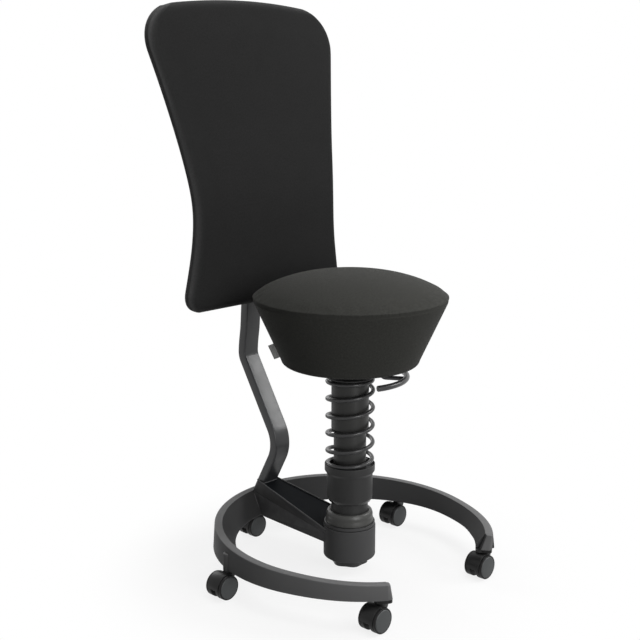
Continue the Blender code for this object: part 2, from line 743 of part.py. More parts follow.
total_turns = FOOT_TURNS + ACTIVE_TURNS + HEAD_TURNS
spring_points = []
spring_count = round(total_turns * TURN_POINTS)
for k in range(spring_count + 1):
    turns = total_turns * k / spring_count
    angle = SPRING_PHASE + 2.0 * math.pi * (turns - FOOT_TURNS - ACTIVE_TURNS)
    height = spring_height(turns)
    spring_points.append(Vector((SPRING_R * math.cos(angle), SPRING_R * math.sin(angle), height)))
least_gap = 1.0
for i, first in enumerate(spring_points):
    for second in spring_points[i + TURN_POINTS // 2:]:
        least_gap = min(least_gap, (first - second).length - 2.0 * WIRE_R)
print("coil_spring least gap to itself, mm: %.2f" % (1000.0 * least_gap))

wire = bpy.data.curves.new("coil_spring", "CURVE")
wire.dimensions = "3D"
wire.bevel_depth = WIRE_R
wire.bevel_resolution = 1
wire.use_fill_caps = True
strand = wire.splines.new("POLY")
strand.points.add(len(spring_points) - 1)
for point, spot in zip(strand.points, spring_points):
    point.co = (*spot, 1.0)
wire.materials.append(make_material("coil_spring", *DARK_STEEL))
coil_spring = bpy.data.objects.new("coil_spring", wire)
bpy.context.scene.collection.objects.link(coil_spring)

# Gas lift inside the strut.
gas_tube = to_object("gas_tube", turned([
    (0.0, GAS_BOTTOM), (GAS_TUBE_R, GAS_BOTTOM), (GAS_TUBE_R, GAS_TOP), (GAS_IN, GAS_TOP),
    (GAS_IN, GAS_BOTTOM + GAS_FLOOR), (0.0, GAS_BOTTOM + GAS_FLOOR)], 24), TUBE)
gas_bush_top = GAS_TOP - 0.003
gas_bush = to_object("gas_bush", turned([
    (GAS_IN - FIT, gas_bush_top), (GAS_IN - FIT, gas_bush_top - GAS_BUSH_H),
    (CYLINDER_R + RUN, gas_bush_top - GAS_BUSH_H), (CYLINDER_R + RUN, gas_bush_top)], 24), PLASTIC)
piston_rod = to_object("piston_rod", cylinder(ROD_R, ROD_BOTTOM, ROD_TOP, 16), STEEL)
bore_top = ROD_TOP + ROD_SPARE
button_low = BUTTON_TOP - BUTTON_H
gas_cylinder = to_object("gas_cylinder", turned([
    (0.0, button_low - BUTTON_TRAVEL - 0.001), (BUTTON_R + RUN, button_low - BUTTON_TRAVEL - 0.001),
    (BUTTON_R + RUN, CYLINDER_TOP), (CYLINDER_R, CYLINDER_TOP), (CYLINDER_R, CYLINDER_BOTTOM),
    (ROD_R + RUN, CYLINDER_BOTTOM), (ROD_R + RUN, bore_top), (0.0, bore_top)], 24), TUBE)
valve_button = to_object("valve_button", cylinder(BUTTON_R, button_low, BUTTON_TOP, 16), STEEL)

# Seat.
pan_in = SOCKET_BORE + SOCKET_WALL
seat_pan = to_object("seat_pan", turned([
    (SOCKET_BORE, PAN_BOTTOM + SOCKET_H), (pan_in, PAN_BOTTOM + SOCKET_H), (pan_in, PAN_BOTTOM + PAN_T),
    (PAN_R - PAN_T, PAN_BOTTOM + PAN_T), (PAN_R - PAN_T, PAN_TOP), (PAN_R + PAN_FLANGE, PAN_TOP),
    (PAN_R + PAN_FLANGE, PAN_TOP - PAN_T), (PAN_R, PAN_TOP - PAN_T), (PAN_R, PAN_BOTTOM),
    (SOCKET_BORE, PAN_BOTTOM)], 32), ZINC)
lever_turn = Matrix.Rotation(LEVER_ANGLE, 4, "Z")
lug_mid = LEVER_R + LUG_GAP + LUG_T / 2.0
lug_low = PAN_BOTTOM + PAN_T / 2.0
lug_top = LEVER_Z + LUG_W / 2.0 - 0.002
lugs = []
for side in (-1, 1):
    lug = box((LUG_W, LUG_T, lug_top - lug_low), (LEVER_PIVOT, side * lug_mid, (lug_top + lug_low) / 2.0))
    lugs.append(placed(lug, lever_turn))
pin_half = LEVER_R + LUG_GAP + LUG_T
pin_place = Matrix.Translation((LEVER_PIVOT, 0.0, LEVER_Z))
pin_axis = lever_turn @ pin_place @ Matrix.Rotation(math.radians(90.0), 4, "X")
slot_w = 2.0 * LEVER_R + 0.003
slot_l = 2.0 * LEVER_R + 0.007
pan_cuts = [
    placed(cylinder(PIN_R + RUN, -pin_half - 0.01, pin_half + 0.01, 12), pin_axis),
    placed(box((slot_l, slot_w, 3.0 * PAN_T), (LEVER_LEG, 0.0, PAN_BOTTOM)), lever_turn)]
cut(seat_pan, to_object("pan_lugs", gathered(lugs)), "UNION")
cut(seat_pan, to_object("pan_cuts", gathered(pan_cuts)))
lever_pin = to_object("lever_pin", placed(cylinder(PIN_R, -pin_half, pin_half, 12), pin_axis), STEEL)

board_r = POCKET_R - FIT
seat_board = to_object("seat_board", cylinder(board_r, BOARD_BOTTOM, BOARD_BOTTOM + BOARD_T, 48), WOOD)
seat_base_cover = to_object("seat_base_cover", turned([
    (board_r, SEAT_BOTTOM + COVER_T), (board_r, SEAT_BOTTOM), (COVER_HOLE, SEAT_BOTTOM),
    (COVER_HOLE, SEAT_BOTTOM + COVER_T)], 48), PLASTIC)
cut(seat_base_cover, to_object("cover_slot", placed(
    box((slot_l, slot_w, 3.0 * COVER_T), (LEVER_LEG, 0.0, SEAT_BOTTOM)), lever_turn)))

seat_profile = [(POCKET_R, SEAT_BOTTOM)]
for k in range(4):
    s = math.radians(90.0) * k / 3.0
    skirt_rise = SEAT_SKIRT_H * (1.0 - math.cos(s))
    seat_profile.append((lerp(SEAT_FOOT_R, SEAT_SKIRT_R, math.sin(s)), SEAT_BOTTOM + skirt_rise))
for k in (0.34, 0.67, 1.0):
    seat_profile.append((lerp(SEAT_SKIRT_R, SEAT_R, k), lerp(SEAT_BOTTOM + SEAT_SKIRT_H, SEAT_RIM, k)))
for k in (0.985, 0.95, 0.88, 0.78, 0.64, 0.46, 0.26, 0.0):
    seat_profile.append((SEAT_R * k, SEAT_RIM + SEAT_CROWN * (1.0 - k ** SEAT_CROWN_POWER)))
seat_profile.reverse()
seat_profile += [(POCKET_R, POCKET_TOP), (0.0, POCKET_TOP)]
seat_cushion = to_object("seat_cushion", turned(seat_profile, 48), FABRIC)


# Release lever: a bent rod from the valve out under the seat, with a curved grip across its end.
def rod(path, radius, sides, level=False):
    rings = []
    for k, spot in enumerate(path):
        ahead = path[min(k + 1, len(path) - 1)] - path[max(k - 1, 0)]
        ahead.normalize()
        side = Vector((0.0, 0.0, 1.0)).cross(ahead) if level else Vector((0.0, 1.0, 0.0))
        side.normalize()
        up = ahead.cross(side)
        ring = []
        for n in range(sides):
            angle = 2.0 * math.pi * n / sides
            ring.append(spot + (side * math.cos(angle) + up * math.sin(angle)) * radius)
        rings.append(ring)
    return lofted(rings)


leg_corners = [Vector((-0.003, 0.0, LEVER_Z)), Vector((LEVER_LEG, 0.0, LEVER_Z)),
               Vector((LEVER_LEG, 0.0, GRIP_Z)), Vector((LEVER_ARC_R, 0.0, GRIP_Z))]
leg_path = filleted(leg_corners, (LEVER_BEND, LEVER_BEND), 5)
lever_pivot = pivot("lever_pivot", lever_turn @ Vector((LEVER_PIVOT, 0.0, LEVER_Z)))
to_lever = Matrix.Translation(-lever_pivot.location)
leg = placed(rod(leg_path, LEVER_R, 10), to_lever @ lever_turn)
release_lever = to_object("release_lever", leg, DARK_STEEL, parent=lever_pivot)
arc_path = []
for k in range(19):
    turn = LEVER_ANGLE + lerp(-LEVER_ARC_LEFT, LEVER_ARC_RIGHT, k / 18.0)
    arc_path.append(Vector((LEVER_ARC_R * math.cos(turn), LEVER_ARC_R * math.sin(turn), GRIP_Z)))
cut(release_lever, to_object("lever_arc", rod(arc_path, LEVER_R + 0.0001, 10, level=True)), "UNION")
lever_hole = placed(cylinder(PIN_R + RUN, -pin_half - 0.01, pin_half + 0.01, 12), pin_axis)
cut(release_lever, to_object("lever_hole", lever_hole))


# Back bracket: a folded sheet trough on the arm, with walls that rise towards the bar.
bracket_end = arm_end_ring(ARM_W_RING / 2.0) - 0.003


def bracket_point(u, rise, t, inset):
    x_hub = u * (arm_half(0.0) - inset)
    x_ring = u * (arm_half(1.0) - inset)
    y_hub = arm_end_hub(x_hub)
    y_ring = bracket_end
    z_hub = arm_plane(y_hub) + FIT
    z_ring = arm_plane(y_ring) + FIT
    if rise:
        z_hub += WALL_HUB
        z_ring += WALL_RING
        y_ring -= WALL_RING * math.tan(BAR_FOOT_LEAN)
    elif inset:
        z_hub += SHEET_UP
        z_ring += SHEET_UP
    return (lerp(x_hub, x_ring, t), lerp(y_hub, y_ring, t), lerp(z_hub, z_ring, t))


bracket_run = [(-1.0, True)] + [(u, False) for u in arm_across] + [(1.0, True)]
bracket_out = [[bracket_point(u, rise, t / 3.0, 0.0) for u, rise in bracket_run] for t in range(4)]
bracket_in = [[bracket_point(u, rise, t / 3.0, SHEET) for u, rise in bracket_run] for t in range(4)]
back_bracket = to_object("back_bracket", sheet(bracket_out, bracket_in), METAL)

bolt_holes = []
arm_holes = []
for bolt_name, t in (("bracket_bolt_front", 0.38), ("bracket_bolt_rear", 0.66)):
    y = lerp(arm_end_hub(0.0), arm_end_ring(0.0), t)
    tilt = Matrix.Rotation(math.atan(ARM_SLOPE), 4, "X")
    seat_on = Matrix.Translation((0.0, y, arm_plane(y) + FIT)) @ tilt
    head_low = SHEET + FIT
    head_top = head_low + BOLT_HEAD_H
    bolt = turned([(0.0, head_top), (BOLT_HEAD_R, head_top), (BOLT_HEAD_R, head_low), (BOLT_R, head_low),
                   (BOLT_R, -BOLT_LEN), (0.0, -BOLT_LEN)], 12)
    to_object(bolt_name, placed(bolt, seat_on), ZINC)
    bolt_holes.append(placed(cylinder(BOLT_R + RUN, -0.02, 0.02, 12), seat_on))
    arm_holes.append(placed(cylinder(BOLT_R + RUN, -BOLT_LEN - 0.001, 0.02, 12), seat_on))
cut(back_bracket, to_object("bracket_holes", gathered(bolt_holes)))
cut(foot_arm, to_object("arm_holes", gathered(arm_holes)))


# Backrest surface: the lumbar curve of the front face and the waisted outline.
def back_front(z):
    d = z - BACK_WAIST_Z
    slant = (BACK_CURVE_UP - BACK_CURVE_DOWN) / 2.0
    bend = (BACK_CURVE_UP + BACK_CURVE_DOWN) / 2.0
    return BACK_FRONT_Y + slant * d + bend * (math.hypot(d, BACK_CURVE_SOFT) - BACK_CURVE_SOFT)


def back_half(z):
    d = z - BACK_WAIST_Z
    return (BACK_WAIST_W + BACK_FLARE * (math.hypot(d, BACK_FLARE_SOFT) - BACK_FLARE_SOFT)) / 2.0


def back_edge(z, low, high):
    # Half width with the rounded corners taken off.
    half = back_half(z)
    for room, bend in ((high - z, BACK_TOP_ROUND), (z - low, BACK_BOTTOM_ROUND)):
        if room < bend:
            half -= bend - math.sqrt(max(0.0, bend * bend - (bend - room) ** 2))
    return half


def back_rows(low, high):
    # Heights that close up in the rounded corners.
    rows = [low + BACK_BOTTOM_ROUND * (1.0 - math.cos(math.radians(30.0) * k)) for k in range(4)]
    first = low + BACK_BOTTOM_ROUND
    last = high - BACK_TOP_ROUND
    rows += [lerp(first, last, k / 13.0) for k in range(1, 14)]
    rows += [last + BACK_TOP_ROUND * math.sin(math.radians(18.0) * k) for k in range(1, 6)]
    return rows


def arched(x, y, z):
    # A point of the backrest, let down beside the middle of its arched top.
    t = max(0.0, (z - BACK_TOP) / BACK_ARCH_H + 1.0)
    return (x, y, z - BACK_ARCH * (t * x / back_half(BACK_TOP)) ** 2)


def roll(distance):
    # How far the front falls back at this distance from the edge.
    if distance >= PAD_ROLL:
        return 0.0
    return PAD_ROLL - math.sqrt(PAD_ROLL ** 2 - (PAD_ROLL - distance) ** 2)


def back_columns(half, edge):
    steps = [half, half - 0.12 * edge, half - 0.45 * edge, half - edge]
    steps += [(half - edge) * k for k in (0.72, 0.4)]
    return [-s for s in steps] + [0.0] + steps[::-1]


pad_rows = back_rows(BACK_BOTTOM, BACK_TOP)


def back_line(z):
    # The front curve as the rows of the pad draw it, so that pieces behind it share its facets.
    for a, b in zip(pad_rows, pad_rows[1:]):
        if z <= b:
            return lerp(back_front(a), back_front(b), (z - a) / (b - a))
    return back_front(z)


def rows_between(low, high, extra):
    rows = [low, high] + [z for z in pad_rows if low + 0.001 < z < high - 0.001]
    for z in extra:
        if min(abs(z - other) for other in rows) > 0.001:
            rows.append(z)
    return sorted(rows)


pad_front = []
pad_back = []
for z in pad_rows:
    half = back_edge(z, BACK_BOTTOM, BACK_TOP)
    front_row = []
    back_row = []
    for x in back_columns(half, PAD_ROLL):
        near = min(half - abs(x), z - BACK_BOTTOM, BACK_TOP - z)
        crown = PAD_CROWN * (1.0 - (x / half) ** 2) * min(1.0, near / (4.0 * PAD_ROLL))
        front_row.append(arched(x, back_front(z) + roll(near) - crown, z))
        back_row.append(arched(x, back_front(z) + PAD_T, z))
    pad_front.append(front_row)
    pad_back.append(back_row)
back_pivot = pivot("back_pivot", (0.0, 0.0, 0.0))
back_cushion = to_object("back_cushion", sheet(pad_front, pad_back), BACK_FABRIC, parent=back_pivot)

shell_front = []
shell_rear = []
shell_low = BACK_BOTTOM + SHELL_INSET
shell_high = BACK_TOP - SHELL_INSET
for z in rows_between(shell_low, shell_high, back_rows(shell_low, shell_high)):
    half = back_edge(z, shell_low, shell_high) - SHELL_INSET
    columns = [half * k / 4.0 for k in range(-4, 5)]
    shell_front.append([arched(x, back_line(z) + PAD_T + FIT, z) for x in columns])
    shell_rear.append([arched(x, back_line(z) + SHELL_BACK, z) for x in columns])
back_shell = to_object("back_shell", sheet(shell_front, shell_rear), PLASTIC, parent=back_pivot)

# Bar: a flat tube from the trough up behind the backrest.
waist_bar = BACK_FRONT_Y + SHELL_BACK + BAR_STANDOFF
elbow = Vector((0.0, waist_bar + (BACK_WAIST_Z - BAR_ELBOW_Z) * math.tan(BAR_TOP_LEAN), BAR_ELBOW_Z))
top_end = Vector((0.0, elbow.y - (BAR_TOP_Z - BAR_ELBOW_Z) * math.tan(BAR_TOP_LEAN), BAR_TOP_Z))
foot_y = RING_IN - BAR_FOOT_IN
bar_foot = Vector((0.0, foot_y, arm_plane(foot_y) + SHEET_UP + 2.0 * FIT))
knee = bar_foot + Vector((0.0, -BAR_KNEE_H * math.tan(BAR_FOOT_LEAN), BAR_KNEE_H))
bar_path = filleted([bar_foot, knee, elbow, top_end], (BAR_KNEE_BEND, BAR_ELBOW_BEND), 6)


def bar_ring(k, inset, end_drop):
    ahead = (bar_path[min(k + 1, len(bar_path) - 1)] - bar_path[max(k - 1, 0)]).normalized()
    level = Vector((0.0, ahead.z, -ahead.y))
    ring = []
    for across, through in rounded(BAR_W - 2.0 * inset, BAR_T - 2.0 * inset, BAR_CORNER - 0.8 * inset):
        point = bar_path[k] + Vector((across, 0.0, 0.0)) + level * through - ahead * end_drop
        if k == 0:
            short = bar_foot.z + (point.y - bar_foot.y) * ARM_SLOPE - point.z
            point += ahead * (short / (ahead.z - ahead.y * ARM_SLOPE))
        ring.append(point)
    return ring


bar_made = bmesh.new()
bar_outer = []
bar_inner = []
for k in range(len(bar_path)):
    end_drop = BAR_WALL if k == len(bar_path) - 1 else 0.0
    bar_outer.append([bar_made.verts.new(p) for p in bar_ring(k, 0.0, 0.0)])
    bar_inner.append([bar_made.verts.new(p) for p in bar_ring(k, BAR_WALL, end_drop)])
bar_count = len(bar_outer[0])
for rows in (bar_outer, bar_inner):
    for a, b in zip(rows, rows[1:]):
        for k in range(bar_count):
            bar_made.faces.new((a[k], a[(k + 1) % bar_count], b[(k + 1) % bar_count], b[k]))
    bar_made.faces.new(rows[-1])
for k in range(bar_count):
    n = (k + 1) % bar_count
    bar_made.faces.new((bar_outer[0][k], bar_inner[0][k], bar_inner[0][n], bar_outer[0][n]))
back_bar = to_object("back_bar", bar_made, METAL)


# Sleeve: rides on the straight top of the bar and carries the shell.
def bar_middle(z):
    return elbow.y - (z - BAR_ELBOW_Z) * math.tan(BAR_TOP_LEAN)


sleeve_half = BAR_W / 2.0 + RUN + SLEEVE_SIDE
slide_half = BAR_T / 2.0 / math.cos(BAR_TOP_LEAN) + RUN
sleeve_outer = []
sleeve_inner = []
for z in rows_between(SLEEVE_LOW, SLEEVE_LOW + SLEEVE_LEN, []):
    front = back_line(z) + SHELL_BACK + FIT
    rear = bar_middle(z) + slide_half + SLEEVE_WALL
    bore = rounded(BAR_W + 2.0 * RUN, 2.0 * slide_half, BAR_CORNER + RUN)
    sleeve_inner.append([(x, bar_middle(z) + y, z) for x, y in bore])
    wall = []
    for side, start, stop in ((1.0, front, rear), (-1.0, rear, front)):
        wall.append((side * (BAR_W - BAR_T) / 2.0, start, z))
        for k in range(4):
            wall.append((side * sleeve_half, lerp(start, stop, k / 3.0), z))
        wall.append((side * (BAR_W - BAR_T) / 2.0, stop, z))
    sleeve_outer.append(wall)
sleeve_made = bmesh.new()
outer_rows = [[sleeve_made.verts.new(p) for p in ring] for ring in sleeve_outer]
inner_rows = [[sleeve_made.verts.new(p) for p in ring] for ring in sleeve_inner]
for rows in (outer_rows, inner_rows):
    for a, b in zip(rows, rows[1:]):
        for k in range(len(a)):
            n = (k + 1) % len(a)
            sleeve_made.faces.new((a[k], a[n], b[n], b[k]))
for a, b in ((outer_rows[0], inner_rows[0]), (outer_rows[-1], inner_rows[-1])):
    for k in range(len(a)):
        n = (k + 1) % len(a)
        sleeve_made.faces.new((a[k], a[n], b[n], b[k]))
back_sleeve = to_object("back_sleeve", sleeve_made, PLASTIC, parent=back_pivot)

clamp_z = SLEEVE_LOW + SLEEVE_LEN / 2.0
clamp_y = bar_middle(clamp_z) + slide_half + SLEEVE_WALL
clamp_turn = Matrix.Rotation(BAR_TOP_LEAN - math.radians(90.0), 4, "X")
clamp_axis = Matrix.Translation((0.0, clamp_y, clamp_z)) @ clamp_turn
clamp_hole = placed(cylinder(CLAMP_STUD_R + RUN, -2.5 * SLEEVE_WALL, SLEEVE_WALL, 16), clamp_axis)
cut(back_sleeve, to_object("clamp_hole", clamp_hole))
clamp_pivot = pivot("clamp_pivot", (0.0, clamp_y, clamp_z))
clamp_pivot.parent = back_pivot
clamp_body = extruded(lobed(CLAMP_R, CLAMP_LOBE_DEPTH, CLAMP_LOBES, 8), CLAMP_OFF, CLAMP_OFF + CLAMP_H)
clamp_knob = to_object("clamp_knob", placed(clamp_body, clamp_turn), PLASTIC, parent=clamp_pivot)
cut(clamp_knob, to_object("clamp_stud", placed(
    cylinder(CLAMP_STUD_R, -SLEEVE_WALL - RUN + FIT, CLAMP_OFF + CLAMP_H / 2.0, 16), clamp_axis)), "UNION")

# Castors: all five trail the same way. Wheel flats face the floor.
axle_turn = Matrix.Rotation(math.radians(-90.0), 4, "X")
wheel_sides = 20
wheel_tip = WHEEL_R / math.cos(math.pi / wheel_sides)
hood_half = HOOD_W / 2.0
wheel_low = hood_half + FIT
wheel_high = wheel_low + WHEEL_W
groove_high = wheel_high - DISC_T
groove_low = groove_high - GROOVE_W
bore_end = wheel_high - AXLE_COVER
wheel_profile = [
    (0.0, bore_end), (AXLE_R + RUN, bore_end), (AXLE_R + RUN, wheel_low), (wheel_tip - WHEEL_EDGE, wheel_low),
    (wheel_tip, wheel_low + WHEEL_EDGE), (wheel_tip, groove_low), (GROOVE_R, groove_low),
    (GROOVE_R, groove_high), (DISC_R, groove_high), (DISC_R, wheel_high - DISC_ROUND),
    (DISC_R - 2.0 * DISC_ROUND, wheel_high), (0.0, wheel_high)]


def wheel(direction):
    made = turned(wheel_profile, wheel_sides)
    if direction < 0:
        bmesh.ops.scale(made, vec=(1.0, 1.0, -1.0), verts=made.verts)
    return placed(made, axle_turn @ Matrix.Rotation(math.pi / wheel_sides, 4, "Z"))


hood_outline = []
for k in range(19):
    angle = math.radians(lerp(72.0, 360.0, k / 18.0))
    hood_outline.append((HOOD_DISC_R * math.cos(angle), HOOD_DISC_R * math.sin(angle)))
hood_top = SOCKET_Z - FIT - WHEEL_R
post_half = STEM_NECK_R + 0.006
hood_outline += [(TRAIL + post_half, 0.4 * hood_top), (TRAIL + post_half, hood_top)]
hood_outline.append((TRAIL - post_half, hood_top))
upright = Matrix.Rotation(math.radians(90.0), 4, "X")
hood_body = placed(extruded(hood_outline, -hood_half, hood_half), upright)
stem_low = SOCKET_Z - STEM_ROOT

first_castor = {}
for place_name, spot in castor_places.items():
    swivel = pivot("castor_pivot_" + place_name, spot)
    axle_place = (-TRAIL, 0.0, WHEEL_R)
    if not first_castor:
        stem = to_object("castor_stem_" + place_name, turned([
            (0.0, SOCKET_Z + STEM_LEN), (STEM_R - 0.001, SOCKET_Z + STEM_LEN),
            (STEM_R, SOCKET_Z + STEM_LEN - 0.001),
            (STEM_R, SOCKET_Z), (STEM_NECK_R, SOCKET_Z - FIT), (STEM_NECK_R, stem_low),
            (0.0, stem_low)], 12), STEEL, parent=swivel)
        hood = to_object("castor_hood_" + place_name, hood_body, PLASTIC, axle_place, swivel)
        axle = to_object("castor_axle_" + place_name, placed(cylinder(
            AXLE_R, FIT - bore_end, bore_end - FIT, 12), axle_turn), STEEL, axle_place, swivel)
        front_wheel = to_object("castor_wheel_front_" + place_name, wheel(-1), DISC, axle_place, swivel)
        rear_wheel = to_object("castor_wheel_rear_" + place_name, wheel(1), DISC, axle_place, swivel)
        first_castor = {"stem": stem, "hood": hood, "axle": axle, "front": front_wheel, "rear": rear_wheel}
    else:
        copy_object("castor_stem_" + place_name, first_castor["stem"], (0.0, 0.0, 0.0), swivel)
        hood = copy_object("castor_hood_" + place_name, first_castor["hood"], axle_place, swivel)
        copy_object("castor_axle_" + place_name, first_castor["axle"], axle_place, swivel)
        copy_object("castor_wheel_front_" + place_name, first_castor["front"], axle_place, swivel)
        copy_object("castor_wheel_rear_" + place_name, first_castor["rear"], axle_place, swivel)
    hood_cuts = gathered([
        placed(cylinder(STEM_NECK_R + RUN, stem_low - 0.001, SOCKET_Z + 0.01, 12),
               Matrix.Translation(spot)),
        placed(cylinder(AXLE_R + FIT, -0.02, 0.02, 12),
               Matrix.Translation(spot + Vector(axle_place)) @ axle_turn)])
    cut(hood, to_object("hood_cuts_" + place_name, hood_cuts))
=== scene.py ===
import math

import bmesh
import bpy
from mathutils import Matrix, Vector


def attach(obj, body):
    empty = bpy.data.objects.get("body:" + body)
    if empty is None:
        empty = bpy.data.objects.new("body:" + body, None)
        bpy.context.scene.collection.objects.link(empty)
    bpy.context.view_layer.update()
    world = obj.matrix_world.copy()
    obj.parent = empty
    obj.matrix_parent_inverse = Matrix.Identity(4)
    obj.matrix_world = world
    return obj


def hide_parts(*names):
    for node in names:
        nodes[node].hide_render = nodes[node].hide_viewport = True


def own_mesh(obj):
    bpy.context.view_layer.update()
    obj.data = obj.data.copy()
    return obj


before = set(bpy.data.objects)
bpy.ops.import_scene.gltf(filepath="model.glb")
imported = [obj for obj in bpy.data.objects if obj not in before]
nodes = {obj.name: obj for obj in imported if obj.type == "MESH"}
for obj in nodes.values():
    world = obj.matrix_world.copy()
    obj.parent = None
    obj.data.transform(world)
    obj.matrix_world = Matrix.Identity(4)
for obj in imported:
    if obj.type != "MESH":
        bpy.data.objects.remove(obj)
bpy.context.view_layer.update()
scene = bpy.context.scene
scene.view_settings.view_transform = "Standard"
print("frame loaded:", len(nodes), "solids")


# small mesh tools

def lerp(a, b, t):
    return a + (b - a) * t


def ease(t):
    t = min(1.0, max(0.0, t))
    return t * t * (3.0 - 2.0 * t)


def keyed(keys, at):
    # a value eased from key to key
    value = keys[0][1]
    for (start, first), (end, last) in zip(keys, keys[1:]):
        if at > start:
            value = lerp(first, last, ease((at - start) / (end - start)))
    return value


def roundCorners(points, radii, steps=5, closed=True):
    # rounds the corners of a line, with one radius for all or one for each
    out = []
    count = len(points)
    for i in range(count):
        here = Vector(points[i])
        bend = radii[i] if isinstance(radii, (list, tuple)) else radii
        if bend <= 0.0 or (not closed and i in (0, count - 1)):
            out.append(here)
            continue
        back = Vector(points[i - 1]) - here
        ahead = Vector(points[(i + 1) % count]) - here
        turn = back.angle(ahead)
        if turn > math.pi - 0.02:
            out.append(here)
            continue
        reach = min(bend / math.tan(turn / 2.0), 0.48 * back.length, 0.48 * ahead.length)
        bend = reach * math.tan(turn / 2.0)
        middle = here + (back.normalized() + ahead.normalized()).normalized() * (bend / math.sin(turn / 2.0))
        first = here + back.normalized() * reach - middle
        last = here + ahead.normalized() * reach - middle
        arc = first.angle(last)
        for k in range(steps + 1):
            t = k / steps
            spoke = (first * math.sin((1.0 - t) * arc) + last * math.sin(t * arc)) / math.sin(arc)
            out.append(middle + spoke)
    return out


def lathe(profile, sides=96):
    # turns (radius, height) points about Z; a profile that starts and ends on the axis stays open there
    made = bmesh.new()
    rings = []
    for radius, height in profile:
        if radius < 1e-7:
            rings.append([made.verts.new((0.0, 0.0, height))])
            continue
        turns = [2.0 * math.pi * k / sides for k in range(sides)]
        rings.append([made.verts.new((radius * math.cos(a), radius * math.sin(a), height)) for a in turns])
    openChain = len(rings[0]) == 1 and len(rings[-1]) == 1
    for i in range(len(rings) - 1 if openChain else len(rings)):
        a = rings[i]
        b = rings[(i + 1) % len(rings)]
        for k in range(sides):
            n = (k + 1) % sides
            corners = list(dict.fromkeys((a[k % len(a)], b[k % len(b)], b[n % len(b)], a[n % len(a)])))
            if len(corners) > 2:
                made.faces.new(corners)
    return made


def loft(rings):
    # a closed skin over rings of equal count
    made = bmesh.new()
    rows = [[made.verts.new(p) for p in ring] for ring in rings]
    count = len(rows[0])
    for a, b in zip(rows, rows[1:]):
        for k in range(count):
            n = (k + 1) % count
            made.faces.new((a[k], a[n], b[n], b[k]))
    made.faces.new(rows[0])
    made.faces.new(rows[-1])
    return made


def gridBorder(rows, columns):
    walk = [(i, 0) for i in range(rows)] + [(rows - 1, j) for j in range(1, columns)]
    walk += [(i, columns - 1) for i in range(rows - 2, -1, -1)] + [(0, j) for j in range(columns - 2, 0, -1)]
    return walk


def slab(front, back):
    # two grids of points, joined round their border
    made = bmesh.new()
    a = [[made.verts.new(p) for p in row] for row in front]
    b = [[made.verts.new(p) for p in row] for row in back]
    for i in range(len(a) - 1):
        for j in range(len(a[0]) - 1):
            made.faces.new((a[i][j], a[i][j + 1], a[i + 1][j + 1], a[i + 1][j]))
            made.faces.new((b[i][j], b[i + 1][j], b[i + 1][j + 1], b[i][j + 1]))
    walk = gridBorder(len(a), len(a[0]))
    for (i, j), (m, n) in zip(walk, walk[1:] + walk[:1]):
        made.faces.new((a[i][j], a[m][n], b[m][n], b[i][j]))
    return made


def bentPath(corners, bends, perBend=18):
    path = [corners[0]]
    for before, corner, after, bend in zip(corners, corners[1:], corners[2:], bends):
        into = (corner - before).normalized()
        out = (after - corner).normalized()
        turn = into.angle(out)
        middle = corner + (out - into).normalized() * (bend / math.cos(turn / 2.0))
        start = corner - into * bend * math.tan(turn / 2.0) - middle
        axis = into.cross(out).normalized()
        for k in range(perBend + 1):
            path.append(middle + Matrix.Rotation(turn * k / perBend, 3, axis) @ start)
    path.append(corners[-1])
    return path


def cube(size, middle):
    made = bmesh.new()
    bmesh.ops.create_cube(made, size=1.0)
    bmesh.ops.scale(made, vec=size, verts=made.verts)
    bmesh.ops.translate(made, vec=middle, verts=made.verts)
    return made


def moved(made, matrix):
    bmesh.ops.transform(made, matrix=matrix, verts=made.verts)
    return made


def toMesh(name, made):
    bmesh.ops.recalc_face_normals(made, faces=made.faces)
    mesh = bpy.data.meshes.new(name)
    made.to_mesh(mesh)
    made.free()
    return mesh


def fromMesh(mesh):
    made = bmesh.new()
    made.from_mesh(mesh)
    return made


def toObject(name, mesh):
    obj = bpy.data.objects.new(name, mesh)
    scene.collection.objects.link(obj)
    return obj


def together(parts):
    whole = bmesh.new()
    for part in parts:
        mesh = toMesh("part", part)
        whole.from_mesh(mesh)
        bpy.data.meshes.remove(mesh)
    return whole


def frozen(obj):
    # the evaluated shape as a plain mesh, with the working object removed
    bpy.context.view_layer.update()
    graph = bpy.context.evaluated_depsgraph_get()
    mesh = bpy.data.meshes.new_from_object(obj.evaluated_get(graph))
    name = obj.name
    bpy.data.objects.remove(obj, do_unlink=True)
    mesh.name = name
    return mesh


def shaped(name, made, steps):
    # joins or cuts with other bodies, in order
    body = toObject(name, toMesh(name, made))
    tools = []
    for kind, tool in steps:
        other = toObject(name + "Tool", toMesh(name + "Tool", tool))
        change = body.modifiers.new(kind, "BOOLEAN")
        change.operation = kind
        change.object = other
        tools.append(other)
    mesh = frozen(body)
    for other in tools:
        bpy.data.objects.remove(other, do_unlink=True)
    return mesh


def refinedCopy(node, width, segments=3, limit=28.0):
    # a merged copy of a solid with its hard edges rounded
    made = fromMesh(nodes[node].data)
    bmesh.ops.remove_doubles(made, verts=made.verts, dist=2e-5)
    bmesh.ops.dissolve_limit(made, angle_limit=math.radians(1.0), verts=made.verts, edges=made.edges)
    hard = [edge for edge in made.edges
            if len(edge.link_faces) == 2 and edge.calc_face_angle(0.0) > math.radians(limit)]
    bmesh.ops.bevel(made, geom=hard, offset=width, segments=segments, profile=0.5, affect="EDGES", clamp_overlap=True)
    return made


